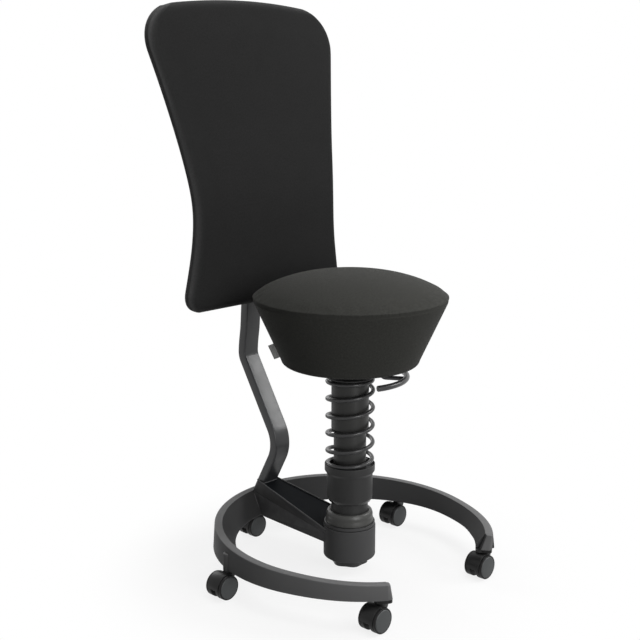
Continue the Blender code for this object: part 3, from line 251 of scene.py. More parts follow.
def markEdges(mesh):
    # how strongly each point bends outwards, for the rubbed edges of the paints
    made = fromMesh(mesh)
    made.normal_update()
    values = []
    for vert in made.verts:
        bends = [0.0, 0.0]
        for edge in vert.link_edges:
            other = edge.other_vert(vert)
            away = other.co - vert.co
            if away.length > 1e-9 and away.normalized().dot(vert.normal) < -0.02:
                bends.append(1.0 - vert.normal.dot(other.normal))
        values.append(ease((sorted(bends)[-2] - 0.010) / 0.04))  # bent on both sides, so flats stay clear
    made.free()
    mark = mesh.attributes.new("edge", "FLOAT", "POINT")
    mark.data.foreach_set("value", values)


def placePiece(name, shape, finish, body, stands=(), sharp=38.0, rub=False):
    # paints a shape, puts it on its body and hides the solids that it stands for
    mesh = toMesh(name, shape) if isinstance(shape, bmesh.types.BMesh) else shape
    mesh.shade_smooth()
    mesh.set_sharp_from_angle(angle=math.radians(sharp))
    mesh.materials.clear()
    mesh.materials.append(finishes[finish])
    if rub:
        markEdges(mesh)
    piece = toObject(name, mesh)
    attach(piece, body)
    if stands:
        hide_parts(*stands)
    return piece


def softened(node, name, finish, body, width, segments=3, limit=28.0, sharp=40.0, rub=True):
    return placePiece(name, refinedCopy(node, width, segments, limit), finish, body, (node,), sharp, rub)


def paintFaces(mesh, finish, chosen):
    mesh.materials.append(finishes[finish])
    for face in mesh.polygons:
        if chosen(face):
            face.material_index = len(mesh.materials) - 1


# node trees: sockets, sums and groups

floatKind, colourKind, vectorKind = "NodeSocketFloat", "NodeSocketColor", "NodeSocketVector"
shapeKind, intKind, objectKind, materialKind = ("NodeSocketGeometry", "NodeSocketInt", "NodeSocketObject",
                                                "NodeSocketMaterial")


def feed(tree, socket, value):
    if isinstance(value, bpy.types.NodeSocket):
        tree.links.new(value, socket)
    else:
        socket.default_value = value


def gnode(tree, kind, values=None, **settings):
    node = tree.nodes.new(kind)
    for key, value in settings.items():
        setattr(node, key, value)
    for label, value in (values or {}).items():
        feed(tree, node.inputs[label], value)
    return node


def calc(tree, operation, *values):
    node = tree.nodes.new("ShaderNodeMath")
    node.operation = operation
    for socket, value in zip(node.inputs, values):
        feed(tree, socket, value)
    return node.outputs[0]


def times(tree, colour, factor):
    return gnode(tree, "ShaderNodeVectorMath", {0: colour, "Scale": factor}, operation="SCALE").outputs[0]


def noise(tree, vector, scale, detail=2.0):
    return gnode(tree, "ShaderNodeTexNoise", {"Vector": vector, "Scale": scale, "Detail": detail}).outputs[0]


def newGroup(name, inputs, outputs, kind="ShaderNodeTree"):
    tree = bpy.data.node_groups.new(name, kind)
    for label, socketKind in inputs:
        tree.interface.new_socket(name=label, in_out="INPUT", socket_type=socketKind)
    for label, socketKind in outputs:
        tree.interface.new_socket(name=label, in_out="OUTPUT", socket_type=socketKind)
    return tree, tree.nodes.new("NodeGroupInput").outputs, tree.nodes.new("NodeGroupOutput").inputs


# patchy tone: colour and roughness drift slowly over a surface
toneGroup, given, result = newGroup(
    "patchyTone", [("Vector", vectorKind), ("Base", colourKind), ("Patch", floatKind), ("Spread", floatKind),
                   ("Rough", floatKind), ("RoughSpread", floatKind)],
    [("Colour", colourKind), ("Roughness", floatKind)])
drift = calc(toneGroup, "SUBTRACT", noise(toneGroup, given["Vector"], given["Patch"], 4.0), 0.5)
factor = calc(toneGroup, "ADD", 1.0, calc(toneGroup, "MULTIPLY", drift, given["Spread"]))
feed(toneGroup, result["Colour"], times(toneGroup, given["Base"], factor))
fineScale = calc(toneGroup, "MULTIPLY", given["Patch"], 5.0)
fineDrift = calc(toneGroup, "SUBTRACT", noise(toneGroup, given["Vector"], fineScale, 3.0), 0.5)
roughShift = calc(toneGroup, "MULTIPLY", fineDrift, given["RoughSpread"])
feed(toneGroup, result["Roughness"], calc(toneGroup, "ADD", given["Rough"], roughShift))

# skin grain: the pebbled skin of powder coat and moulded plastic
grainGroup, given, result = newGroup(
    "skinGrain", [("Vector", vectorKind), ("Scale", floatKind)], [("Height", floatKind)])
pebble = gnode(grainGroup, "ShaderNodeTexVoronoi", {"Vector": given["Vector"], "Scale": given["Scale"]},
               feature="SMOOTH_F1")
pebbleHeight = calc(grainGroup, "MULTIPLY", pebble.outputs["Distance"], 0.6)
swell = noise(grainGroup, given["Vector"], calc(grainGroup, "MULTIPLY", given["Scale"], 0.35), 2.0)
feed(grainGroup, result["Height"], calc(grainGroup, "ADD", pebbleHeight, swell))

# rubbed edge: where hands and shoes polish the paint
rubGroup, given, result = newGroup(
    "rubbedEdge", [("Edge", floatKind), ("Vector", vectorKind), ("Amount", floatKind)], [("Mask", floatKind)])
uneven = calc(rubGroup, "ADD", 0.25, noise(rubGroup, given["Vector"], 60.0, 3.0))
rubbed = calc(rubGroup, "MULTIPLY", calc(rubGroup, "MULTIPLY", given["Edge"], given["Amount"]), uneven)
feed(rubGroup, result["Mask"], calc(rubGroup, "MINIMUM", rubbed, 1.0))

# twill: slanting ridges crossed by the weft, on a map laid out in metres
twillGroup, given, result = newGroup(
    "twillWeave", [("Vector", vectorKind), ("Pitch", floatKind)], [("Height", floatKind), ("Shade", floatKind)])
split = gnode(twillGroup, "ShaderNodeSeparateXYZ", {0: given["Vector"]})
across, along = split.outputs[0], split.outputs[1]


def wave(distance, pitch):
    # a sine of the distance, between 0 and 1
    turns = calc(twillGroup, "MULTIPLY", calc(twillGroup, "DIVIDE", distance, pitch), 6.28319)
    return calc(twillGroup, "MULTIPLY_ADD", calc(twillGroup, "SINE", turns), 0.5, 0.5)


ridge = wave(calc(twillGroup, "ADD", across, along), given["Pitch"])
weft = wave(calc(twillGroup, "SUBTRACT", along, across), calc(twillGroup, "MULTIPLY", given["Pitch"], 0.5))
height = calc(twillGroup, "ADD", calc(twillGroup, "MULTIPLY", ridge, 0.7), calc(twillGroup, "MULTIPLY", weft, 0.3))
feed(twillGroup, result["Height"], height)
slub = calc(twillGroup, "MULTIPLY_ADD", noise(twillGroup, given["Vector"], 240.0, 2.0), 0.5, 0.55)
feed(twillGroup, result["Shade"], calc(twillGroup, "MULTIPLY_ADD", height, 0.35, slub))
print("shader groups made")


# finishes

def useGroup(tree, group, **values):
    return gnode(tree, "ShaderNodeGroup", values, node_tree=group).outputs


def marked(tree, name):
    return gnode(tree, "ShaderNodeAttribute", attribute_name=name).outputs["Fac"]


def newMaterial(name, look):
    material = bpy.data.materials.new(name)
    material.use_nodes = True
    material.diffuse_color = (*look["base"], 1.0)
    tree = material.node_tree
    shader = tree.nodes["Principled BSDF"]
    shader.inputs["Metallic"].default_value = look.get("metal", 0.0)
    shader.inputs["Specular IOR Level"].default_value = look.get("shine", 0.5)
    shader.inputs["Sheen Weight"].default_value = look.get("sheen", 0.0)
    shader.inputs["Sheen Roughness"].default_value = look.get("sheenRough", 0.5)
    return material, tree, shader


def raiseGrain(tree, shader, height, strength, distance):
    bump = gnode(tree, "ShaderNodeBump", {"Strength": strength, "Distance": distance, "Height": height})
    tree.links.new(bump.outputs["Normal"], shader.inputs["Normal"])


def hardFinish(name, look):
    material, tree, shader = newMaterial(name, look)
    where = tree.nodes.new("ShaderNodeTexCoord").outputs["Object"]
    tone = useGroup(tree, toneGroup, Vector=where, Base=(*look["base"], 1.0), Patch=look.get("patch", 16.0),
                    Spread=look.get("spread", 0.25), Rough=look["rough"], RoughSpread=look.get("roughSpread", 0.12))
    colour = tone["Colour"]
    if look.get("rub"):
        worn = useGroup(tree, rubGroup, Edge=marked(tree, "edge"), Vector=where, Amount=look["rub"])
        mix = gnode(tree, "ShaderNodeMix", data_type="RGBA")
        feed(tree, mix.inputs[0], worn["Mask"])
        feed(tree, mix.inputs[6], colour)
        feed(tree, mix.inputs[7], (*look["rubColour"], 1.0))
        colour = mix.outputs[2]
    tree.links.new(colour, shader.inputs["Base Color"])
    tree.links.new(tone["Roughness"], shader.inputs["Roughness"])
    grain = useGroup(tree, grainGroup, Vector=where, Scale=look.get("grain", 900.0))
    raiseGrain(tree, shader, grain["Height"], look.get("bump", 0.1), look.get("depth", 0.0004))
    return material


def clothFinish(name, look):
    material, tree, shader = newMaterial(name, look)
    where = tree.nodes.new("ShaderNodeTexCoord").outputs
    tone = useGroup(tree, toneGroup, Vector=where["Object"], Base=(*look["base"], 1.0), Patch=look["patch"],
                    Spread=look["spread"], Rough=look["rough"], RoughSpread=0.1)
    weave = useGroup(tree, twillGroup, Vector=where["UV"], Pitch=look["pitch"])
    tint = weave["Shade"]
    # painted light on the rolled border, together with a lighter border cloth: the border mark lightens the weave there
    if look.get("border"):
        lighter = calc(tree, "MULTIPLY_ADD", marked(tree, "border"), look["border"], 1.0)
        tint = calc(tree, "MULTIPLY", tint, lighter)
    tree.links.new(times(tree, tone["Colour"], tint), shader.inputs["Base Color"])
    tree.links.new(tone["Roughness"], shader.inputs["Roughness"])
    fuzz = useGroup(tree, grainGroup, Vector=where["Object"], Scale=look["fuzz"])
    both = calc(tree, "ADD", weave["Height"], calc(tree, "MULTIPLY", fuzz["Height"], look["fuzzShare"]))
    raiseGrain(tree, shader, both, look["bump"], look["depth"])
    return material


coat = dict(patch=9.0, spread=0.14, grain=1300.0, bump=0.10)
moulded = dict(patch=18.0, spread=0.2, grain=1100.0)
hardLooks = {
    "framePaint": dict(coat, base=(0.068, 0.068, 0.069), rough=0.55, shine=0.06, rub=0.8, rubColour=(0.16, 0.16, 0.162)),
    # the ring's paints are lit and shaded copies of the frame paint: ringPaint on the outer walls is a lighter copy for
    # the front light, and the next two are painted light on the top faces and painted shade on the inner walls and end
    # caps
    "ringPaint": dict(coat, base=(0.134, 0.134, 0.135), rough=0.55, shine=0.05, rub=0.7, rubColour=(0.19, 0.19, 0.192)),
    "treadPaint": dict(coat, base=(0.165, 0.165, 0.166), rough=0.52, shine=0.08, spread=0.16, rub=0.5,
                       rubColour=(0.21, 0.21, 0.212)),
    "shadePaint": dict(coat, base=(0.047, 0.047, 0.0475), rough=0.58, shine=0.05, rub=0.5, rubColour=(0.11, 0.11, 0.112)),
    # painted highlight: a lighter copy of the frame paint for the lit edges of the trough walls and arm cheeks
    "rimPaint": dict(coat, base=(0.13, 0.13, 0.132), rough=0.50, shine=0.10, bump=0.08),
    "hubPaint": dict(coat, base=(0.086, 0.086, 0.087), rough=0.55, shine=0.06, rub=0.8, rubColour=(0.16, 0.16, 0.162)),
    "edgeGloss": dict(moulded, base=(0.02, 0.02, 0.02), rough=0.16, shine=0.22, bump=0.03),
    "barPaint": dict(coat, base=(0.033, 0.034, 0.036), rough=0.33, shine=0.45, bump=0.08, rub=0.4,
                     rubColour=(0.11, 0.112, 0.115)),
    # near-black for the inside of the trough, partly painted shade
    "troughBlack": dict(base=(0.008, 0.009, 0.0105), rough=0.60, shine=0.03, patch=20.0, spread=0.3, grain=900.0, bump=0.08),
    "strutPaint": dict(base=(0.026, 0.026, 0.025), rough=0.38, shine=0.25, patch=24.0, spread=0.3, grain=500.0, bump=0.05,
                       rub=0.3, rubColour=(0.06, 0.06, 0.06)),
    "springSteel": dict(base=(0.030, 0.030, 0.031), rough=0.30, shine=0.42, patch=60.0, spread=0.4, roughSpread=0.2,
                        grain=700.0, bump=0.07),
    "bareSteel": dict(base=(0.42, 0.42, 0.43), rough=0.34, metal=0.9, patch=40.0, spread=0.2, grain=800.0, bump=0.06),
    "slideBush": dict(base=(0.30, 0.28, 0.24), rough=0.5, grain=700.0, bump=0.08),
    "softRubber": dict(base=(0.055, 0.055, 0.052), rough=0.38, shine=0.40, patch=20.0, spread=0.3, grain=420.0, bump=0.05),
    "blackPlastic": dict(moulded, base=(0.028, 0.028, 0.028), rough=0.43, shine=0.25, bump=0.12, rub=0.4,
                         rubColour=(0.08, 0.08, 0.08)),
    "tyreRubber": dict(base=(0.006, 0.006, 0.006), rough=0.45, shine=0.20, patch=30.0, spread=0.4, grain=900.0, bump=0.10),
    "hoodPlastic": dict(moulded, base=(0.006, 0.006, 0.006), rough=0.36, shine=0.22, bump=0.10, rub=0.3,
                        rubColour=(0.06, 0.06, 0.06)),
    "discPlastic": dict(base=(0.050, 0.0535, 0.0545), rough=0.40, shine=0.30, patch=30.0, spread=0.2, grain=1200.0, bump=0.08,
                        rub=0.6, rubColour=(0.18, 0.185, 0.19)),
    "plyBoard": dict(base=(0.45, 0.32, 0.18), rough=0.7, patch=22.0, spread=0.5, grain=260.0, bump=0.2),
}
clothLooks = {
    "seatCloth": dict(base=(0.040, 0.0402, 0.0368), rough=0.9, shine=0.08, sheen=0.06, sheenRough=0.35, patch=7.0, spread=0.12,
                      pitch=0.0011, fuzz=1500.0, fuzzShare=0.8, bump=0.25, depth=0.0003),
    "backCloth": dict(base=(0.0165, 0.0165, 0.0165), rough=0.9, shine=0.08, sheen=0.05, sheenRough=0.35, patch=6.0,
                      spread=0.12, pitch=0.0022, fuzz=1200.0, fuzzShare=0.3, bump=0.35, depth=0.0004, border=4.0),
    "tagCloth": dict(base=(0.93, 0.93, 0.92), rough=0.8, patch=30.0, spread=0.06, pitch=0.0008, fuzz=1500.0, fuzzShare=0.3,
                     bump=0.2, depth=0.0002),
}
finishes = {name: hardFinish(name, look) for name, look in hardLooks.items()}
finishes.update({name: clothFinish(name, look) for name, look in clothLooks.items()})
print("finishes made:", len(finishes))


# geometry node trees for what repeats or follows a path

def newTree(name, inputs):
    return newGroup(name, inputs, [("Geometry", shapeKind)], "GeometryNodeTree")


def closeTree(tree, geometry, material, result):
    real = gnode(tree, "GeometryNodeRealizeInstances", {"Geometry": geometry})
    painted = gnode(tree, "GeometryNodeSetMaterial", {"Geometry": real.outputs[0], "Material": material})
    tree.links.new(painted.outputs[0], result["Geometry"])


def onPoints(tree, points, part, rotation):
    one = gnode(tree, "GeometryNodeObjectInfo", {"Object": part})
    many = gnode(tree, "GeometryNodeInstanceOnPoints", {
        "Points": points, "Instance": one.outputs["Geometry"], "Rotation": rotation})
    return many.outputs[0]


# a round wire drawn along a line of points
wireTree, given, result = newTree("wireOnPath", [("Path", shapeKind), ("Wire", floatKind), ("Sides", intKind),
                                                 ("Material", materialKind)])
line = gnode(wireTree, "GeometryNodeMeshToCurve", {"Mesh": given["Path"]})
disc = gnode(wireTree, "GeometryNodeCurvePrimitiveCircle", {"Resolution": given["Sides"], "Radius": given["Wire"]})
drawn = gnode(wireTree, "GeometryNodeCurveToMesh", {
    "Curve": line.outputs[0], "Profile Curve": disc.outputs[0], "Fill Caps": True})
closeTree(wireTree, drawn.outputs[0], given["Material"], result)

# equal parts round a circle, then turned and set in place as one
circleTree, given, result = newTree("partsOnCircle", [
    ("Base", shapeKind), ("Part", objectKind), ("Count", intKind), ("Radius", floatKind),
    ("Tilt", vectorKind), ("Place", vectorKind), ("Material", materialKind)])
spots = gnode(circleTree, "GeometryNodeMeshCircle", {"Vertices": given["Count"], "Radius": given["Radius"]})
turned = calc(circleTree, "MULTIPLY", gnode(circleTree, "GeometryNodeInputIndex").outputs[0], 6.283185)
spin = gnode(circleTree, "ShaderNodeCombineXYZ", {"Z": calc(circleTree, "DIVIDE", turned, given["Count"])})
placed = gnode(circleTree, "GeometryNodeTransform", {
    "Geometry": onPoints(circleTree, spots.outputs[0], given["Part"], spin.outputs[0]),
    "Translation": given["Place"], "Rotation": given["Tilt"]})
closeTree(circleTree, placed.outputs[0], given["Material"], result)

# stitches at an even pitch along a line of points
stitchTree, given, result = newTree("stitchesOnPath", [
    ("Path", shapeKind), ("Part", objectKind), ("Pitch", floatKind), ("Material", materialKind)])
seam = gnode(stitchTree, "GeometryNodeMeshToCurve", {"Mesh": given["Path"]})
even = gnode(stitchTree, "GeometryNodeResampleCurve", {"Curve": seam.outputs[0], "Length": given["Pitch"]}, mode="LENGTH")
way = gnode(stitchTree, "GeometryNodeInputTangent")
aim = gnode(stitchTree, "FunctionNodeAlignRotationToVector", {"Vector": way.outputs[0]}, axis="X")
sewn = onPoints(stitchTree, even.outputs[0], given["Part"], aim.outputs[0])
closeTree(stitchTree, sewn, given["Material"], result)


def grown(name, tree, base, values):
    # runs a tree on a base mesh and returns the plain mesh
    obj = toObject(name, base)
    change = obj.modifiers.new(tree.name, "NODES")
    change.node_group = tree
    for item in tree.interface.items_tree:
        if item.in_out == "INPUT" and item.name in values:
            change[item.identifier] = values[item.name]
    return frozen(obj)


def pathMesh(name, points, closed=False):
    mesh = bpy.data.meshes.new(name)
    edges = [(i, i + 1) for i in range(len(points) - 1)]
    if closed:
        edges.append((len(points) - 1, 0))
    mesh.from_pydata([tuple(p) for p in points], edges, [])
    return mesh


def wireMesh(name, points, wire, sides, finish, closed=False):
    return grown(name, wireTree, pathMesh(name + "Path", points, closed), {
        "Wire": wire, "Sides": sides, "Material": finishes[finish]})


print("geometry trees made: wireOnPath, partsOnCircle, stitchesOnPath")

# camera at the photograph's angle
view = dict(place=(-1.75311, -1.55972, 1.03369), turn=(77.96585, 0.0, -46.82878), lens=66.6326, sensor=36.0)
lens = bpy.data.cameras.new("stoolCamera")
lens.lens = view["lens"]
lens.sensor_width = view["sensor"]
cameraObject = toObject("stoolCamera", lens)
cameraObject.location = view["place"]
cameraObject.rotation_euler = [math.radians(a) for a in view["turn"]]
scene.camera = cameraObject

# soft studio light and a white surround; a lamp is its name, place, aim, size and power
studio = dict(world=0.11, floor=0.92, floorBounce=0.24, floorShow=0.83, floorNear=0.30, floorFar=0.57,
              lamps=(("topSoftbox", (0.3, -0.4, 2.7), (0.0, 0.0, 0.4), 2.2, 40.0),
                     ("rightSoftbox", (2.1, -1.5, 1.72), (0.0, 0.0, 0.45), 1.1, 29.0),
                     ("frontSoftbox", (-0.55, -2.2, 0.90), (0.0, 0.0, 0.40), 1.3, 26.0),
                     ("backSoftbox", (0.5, 2.6, 1.30), (0.0, 0.2, 0.60), 1.6, 20.0)))


def seenRays(tree):
    # 1 for rays that show a surface, 0 for those that only light others
    path = tree.nodes.new("ShaderNodeLightPath").outputs
    shown = calc(tree, "MAXIMUM", path["Is Camera Ray"], path["Is Glossy Ray"])
    return calc(tree, "MAXIMUM", shown, path["Is Transmission Ray"])


def blended(tree, share, first, second, outputKind):
    blend = gnode(tree, "ShaderNodeMixShader", {0: share, 1: first.outputs[0], 2: second.outputs[0]})
    tree.links.new(blend.outputs[0], tree.nodes.new(outputKind).inputs["Surface"])


world = bpy.data.worlds.new("studioWorld")
world.use_nodes = True
scene.world = world
tree = world.node_tree
tree.nodes.clear()
soft = gnode(tree, "ShaderNodeBackground", {"Color": (1.0, 1.0, 1.0, 1.0), "Strength": studio["world"]})
white = gnode(tree, "ShaderNodeBackground", {"Color": (1.0, 1.0, 1.0, 1.0)})
blended(tree, seenRays(tree), soft, white, "ShaderNodeOutputWorld")

for lampName, place, aimAt, size, power in studio["lamps"]:
    lamp = bpy.data.lights.new(lampName, "AREA")
    lamp.shape = "DISK"
    lamp.size = size
    lamp.energy = power
    lampObject = toObject(lampName, lamp)
    lampObject.location = place
    lampObject.rotation_euler = (Vector(aimAt) - Vector(place)).to_track_quat("-Z", "Y").to_euler()

floorLine = [(0.0, 0.0), (0.5, 0.0), (1.5, 0.0), (9.0, 0.0), (9.0, -0.02), (0.0, -0.02)]
floorMesh = toMesh("studioFloor", lathe(floorLine, 64))
floorPaint = bpy.data.materials.new("floorPaint")
floorPaint.use_nodes = True
tree = floorPaint.node_tree
tree.nodes.clear()
seen = seenRays(tree)
shown = calc(tree, "MULTIPLY_ADD", seen, studio["floor"] - studio["floorBounce"], studio["floorBounce"])
matt = gnode(tree, "ShaderNodeBsdfDiffuse", {"Color": shown})
glow = gnode(tree, "ShaderNodeEmission")
where = tree.nodes.new("ShaderNodeTexCoord").outputs["Object"]
reach = gnode(tree, "ShaderNodeVectorMath", {0: where}, operation="LENGTH")
fade = gnode(tree, "ShaderNodeMapRange", {
    "Value": reach.outputs["Value"], "From Min": studio["floorNear"], "From Max": studio["floorFar"],
    "To Min": studio["floorShow"]}, interpolation_type="SMOOTHSTEP")
blended(tree, calc(tree, "MULTIPLY", seen, fade.outputs["Result"]), matt, glow, "ShaderNodeOutputMaterial")
floorMesh.materials.append(floorPaint)
toObject("studioFloor", floorMesh)
print("camera, light and floor set")

# foot ring: leaning walls, lower and wider apart towards both ends; keys are degrees from the back
ring = dict(
    middle=0.277, thick=0.016, backTop=0.1105, frontTop=0.0903, frontY=-0.2334, bottom=0.053, rise=0.006, round=0.0024,
    half=math.radians(145.2), steps=220, shift=(0.0018, -0.0019), flare=0.0115, flareFrom=math.radians(105.0),
    leanOut=0.0035, leans=((50.0, 0.0290), (95.0, 0.0225), (120.0, 0.0230), (134.0, 0.0253), (145.2, 0.0218)),
    lowRises=((138.0, 0.0065), (145.2, 0.0008)), tickTurn=math.radians(6.6), tickSize=(0.0008, 0.03, 0.0012), tickSink=0.0004)


def ringTop(y):
    return lerp(ring["backTop"], ring["frontTop"], (ring["middle"] - y) / (ring["middle"] - ring["frontY"]))


def ringLow(y):
    return ring["bottom"] + ring["rise"] * (ring["middle"] - y) / (ring["middle"] - ring["frontY"])


ringRows = []
for k in range(ring["steps"] + 1):
    angle = lerp(-ring["half"], ring["half"], k / ring["steps"])
    fromBack = math.degrees(abs(angle))
    flared = ease((abs(angle) - ring["flareFrom"]) / (ring["half"] - ring["flareFrom"]))
    middle = ring["middle"] + ring["flare"] * flared
    high = ringTop(middle * math.cos(angle)) - ringLow(middle * math.cos(angle))
    half = ring["thick"] / 2.0
    foot = (-half - keyed(ring["leans"], fromBack), keyed(ring["lowRises"], fromBack))
    outline = roundCorners([(half + ring["leanOut"], 0.0), (half, high), (-half, high), foot], ring["round"], 5)
    row = []
    for acrossRing, up in outline:
        r = middle + acrossRing
        y = r * math.cos(angle)
        z = ringLow(y) + up * (ringTop(y) - ringLow(y)) / high
        row.append((r * math.sin(angle) + ring["shift"][0], y + ring["shift"][1], z))
    ringRows.append(row)

# castor sockets: bosses under the ring, and at its two ends a dark insert under a light end face
socket = dict(
    low=0.0525, radius=0.0112, draft=0.0004, bossDrop=0.014, rounds=(0.0, 0.0008, 0.003, 0.0), sideOut=0.002, endOut=0.0065,
    stemR=0.0059, stemLow=0.04, stemTop=0.0735, endR=0.0132, endTop=0.0048, endLow=0.0072, step=0.0004, square=0.55,
    insertBack=0.022, insertOut=0.0015, insertIn=0.0215, insert=((0.0012, 0.0), (0.0004, 0.0008)),
    crown=((0.0080, -0.0030), (0.0077, -0.0016), (0.0069, -0.0006), (0.0056, -0.0001)), sides=48)


def squarish(value):
    return math.copysign(abs(value) ** socket["square"], value)


def endSocket(spot, way):
    radial = spot.normalized()
    forward = Vector((radial.y, -radial.x, 0.0)) * way
    topSpot = radial * (ring["middle"] + ring["flare"]) + Vector((*ring["shift"], 0.0)) + forward * socket["endTop"]
    lowSpot = spot + forward * socket["endLow"] + radial * socket["insertOut"]
    under = ringLow(lowSpot.y) - socket["low"] + socket["step"]
    rows = [(lowSpot, socket["endR"] - less, rise, True) for less, rise in (*socket["insert"], (socket["step"], under))]
    rows.append((lowSpot, socket["endR"], under + socket["step"], False))
    rows += [(topSpot, radius, rise, False) for radius, rise in socket["crown"]]
    circles = []
    for middleSpot, radius, rise, dark in rows:
        circle = []
        for k in range(socket["sides"]):
            turn = 2.0 * math.pi * k / socket["sides"]
            ahead, aside = squarish(math.cos(turn)), squarish(math.sin(turn))
            length = socket["insertBack"] if dark and ahead < 0.0 else radius
            breadth = socket["insertIn"] if dark and aside < 0.0 else radius
            point = middleSpot + forward * ahead * length + radial * aside * breadth
            z = socket["low"] + rise if rise >= 0.0 else ringTop(point.y) + rise
            circle.append((point.x, point.y, z))
        circles.append(circle if forward.cross(radial).z > 0.0 else circle[::-1])
    return loft(circles)


castorSpots = {}
steps = []
for spotName, turnCount in (("back", 0), ("side_right", -1), ("side_left", 1), ("front_right", -2), ("front_left", 2)):
    angle = math.radians(72.0) * turnCount
    atEnd = abs(turnCount) == 2
    out = ring["middle"] + (socket["endOut"] if atEnd else socket["sideOut"])
    spot = Vector((out * math.sin(angle), out * math.cos(angle), 0.0))
    castorSpots[spotName] = spot
    if atEnd:
        steps.append(("UNION", endSocket(spot, 1.0 if turnCount > 0 else -1.0)))
    else:
        bossTop = ringTop(spot.y) - socket["bossDrop"]
        boss = roundCorners([(0.0, socket["low"]), (socket["radius"], socket["low"]),
                             (socket["radius"] - socket["draft"], bossTop), (0.0, bossTop)], socket["rounds"], 5)
        steps.append(("UNION", moved(lathe(boss, 40), Matrix.Translation(spot))))
bore = [(0.0, socket["stemLow"]), (socket["stemR"], socket["stemLow"]), (socket["stemR"], socket["stemTop"]),
        (0.0, socket["stemTop"])]
bores = [moved(lathe(bore, 24), Matrix.Translation(spot)) for spot in castorSpots.values()]
steps.append(("DIFFERENCE", together(bores)))
# fine joints across the ring beside the arm
tickPlace = (0.0, ring["middle"], ring["backTop"] - ring["tickSink"])
ticks = [moved(cube(ring["tickSize"], tickPlace), Matrix.Rotation(side * ring["tickTurn"], 4, "Z")) for side in (-1.0, 1.0)]
steps.append(("DIFFERENCE", together(ticks)))
ringMesh = shaped("footRing", loft(ringRows), steps)
placePiece("footRing", ringMesh, "ringPaint", "base", ("foot_ring",), 32.0, True)
for finish in ("treadPaint", "shadePaint", "hoodPlastic"):
    ringMesh.materials.append(finishes[finish])
# painted light and shade on the ring: faces turned up take the lighter copy of its paint, inner walls and end caps the
# darker copy, and the socket inserts the hood plastic
for face in ringMesh.polygons:
    corners = [ringMesh.vertices[i].co for i in face.vertices]
    turns = [abs(math.atan2(p.x - ring["shift"][0], p.y - ring["shift"][1])) for p in corners]
    outward = Vector((face.center.x, face.center.y, 0.0)).normalized()
    above = face.center.z - ringLow(face.center.y)
    insertSide = above < -0.0001 and face.center.y < -0.15
    insertTop = above < 0.0012 and face.normal.z > -0.5 and min(turns) > ring["half"] - 0.10
    endFace = max(abs(turn - ring["half"]) for turn in turns) < 1e-4
    innerWall = face.normal.dot(outward) < -0.45 and face.center.z > ring["bottom"]
    if insertSide or insertTop:
        face.material_index = 3
    elif face.normal.z > 0.8:
        face.material_index = 1
    elif endFace or innerWall:
        face.material_index = 2
print("foot ring made:", len(ringMesh.polygons), "faces")

# arm, trough and bolts keep the solids' shapes with softened edges
softened("foot_arm", "footArm", "framePaint", "base", 0.0012, sharp=35.0)
trough = softened("back_bracket", "backTrough", "framePaint", "base", 0.0007, sharp=35.0)
# painted shade: the bolts inside the trough take its near-black paint
softened("bracket_bolt_front", "troughBoltFront", "troughBlack", "base", 0.0006, sharp=35.0)
softened("bracket_bolt_rear", "troughBoltRear", "troughBlack", "base", 0.0006, sharp=35.0)


# painted shade: the trough's inner walls and floor are painted near-black for the shade inside it
def insideTrough(face):
    inward = face.normal.x * face.center.x < -1e-4 and abs(face.normal.x) > 0.8
    return inward or face.normal.z > 0.97 or (face.normal.z > 0.85 and abs(face.center.x) < 0.0108)


paintFaces(trough.data, "troughBlack", insideTrough)

# rolled rims on the trough's walls, lighter as painted highlights on the lit wall tops, and the dark cover between them
rim = dict(wire=0.0016, sink=0.0005, hubEnd=(0.0485, 0.0225, 0.0906), ringEnd=(0.0235, 0.2486, 0.1363))
sides = ((-1.0, "Right"), (1.0, "Left"))
for side, word in sides:
    points = [[lerp(a, b, k / 8.0) for a, b in zip(rim["hubEnd"], rim["ringEnd"])] for k in range(9)]
    points = [(side * x, y, z - rim["sink"]) for x, y, z in points]
    rimMesh = wireMesh("troughRim" + word, points, rim["wire"], 12, "rimPaint")
    placePiece("troughRim" + word, rimMesh, "rimPaint", "base", (), 50.0, True)
# the cover's near-black is partly its own dark colour and partly painted shade inside the trough
cover = dict(sink=0.0016, thick=0.0014, hubR=0.0556, lastY=0.2480, across=16, along=24, halfHub=0.0472, halfRing=0.0222)
coverTop = []
for i in range(cover["along"] + 1):
    row = []
    for j in range(cover["across"] + 1):
        u = lerp(-1.0, 1.0, j / cover["across"])
        firstY = math.sqrt(cover["hubR"] ** 2 - (u * cover["halfHub"]) ** 2)
        y = lerp(firstY, cover["lastY"], i / cover["along"])
        share = (y - rim["hubEnd"][1]) / (rim["ringEnd"][1] - rim["hubEnd"][1])
        z = lerp(rim["hubEnd"][2], rim["ringEnd"][2], share) - cover["sink"]
        row.append((u * lerp(cover["halfHub"], cover["halfRing"], share), y, z))
    coverTop.append(row)
coverLow = [[(x, y, z - cover["thick"]) for x, y, z in row] for row in coverTop]
placePiece("troughCover", slab(coverTop, coverLow), "troughBlack", "base")

# beads down the arm's cheeks, lighter as painted highlights on the lit edges there
bead = dict(wire=0.0011, top=(0.262, 0.1035), foot=(0.238, 0.060), halfRing=0.025, halfHub=0.050, ringY=0.268, hubY=0.053)
for side, word in sides:
    points = []
    for k in range(13):
        y, z = (lerp(a, b, k / 12.0) for a, b in zip(bead["top"], bead["foot"]))
        halfArm = lerp(bead["halfRing"], bead["halfHub"], (bead["ringY"] - y) / (bead["ringY"] - bead["hubY"]))
        points.append((side * halfArm, y, z))
    beadMesh = wireMesh("cheekBead" + word, points, bead["wire"], 10, "rimPaint")
    placePiece("cheekBead" + word, beadMesh, "rimPaint", "base", (), 50.0, True)

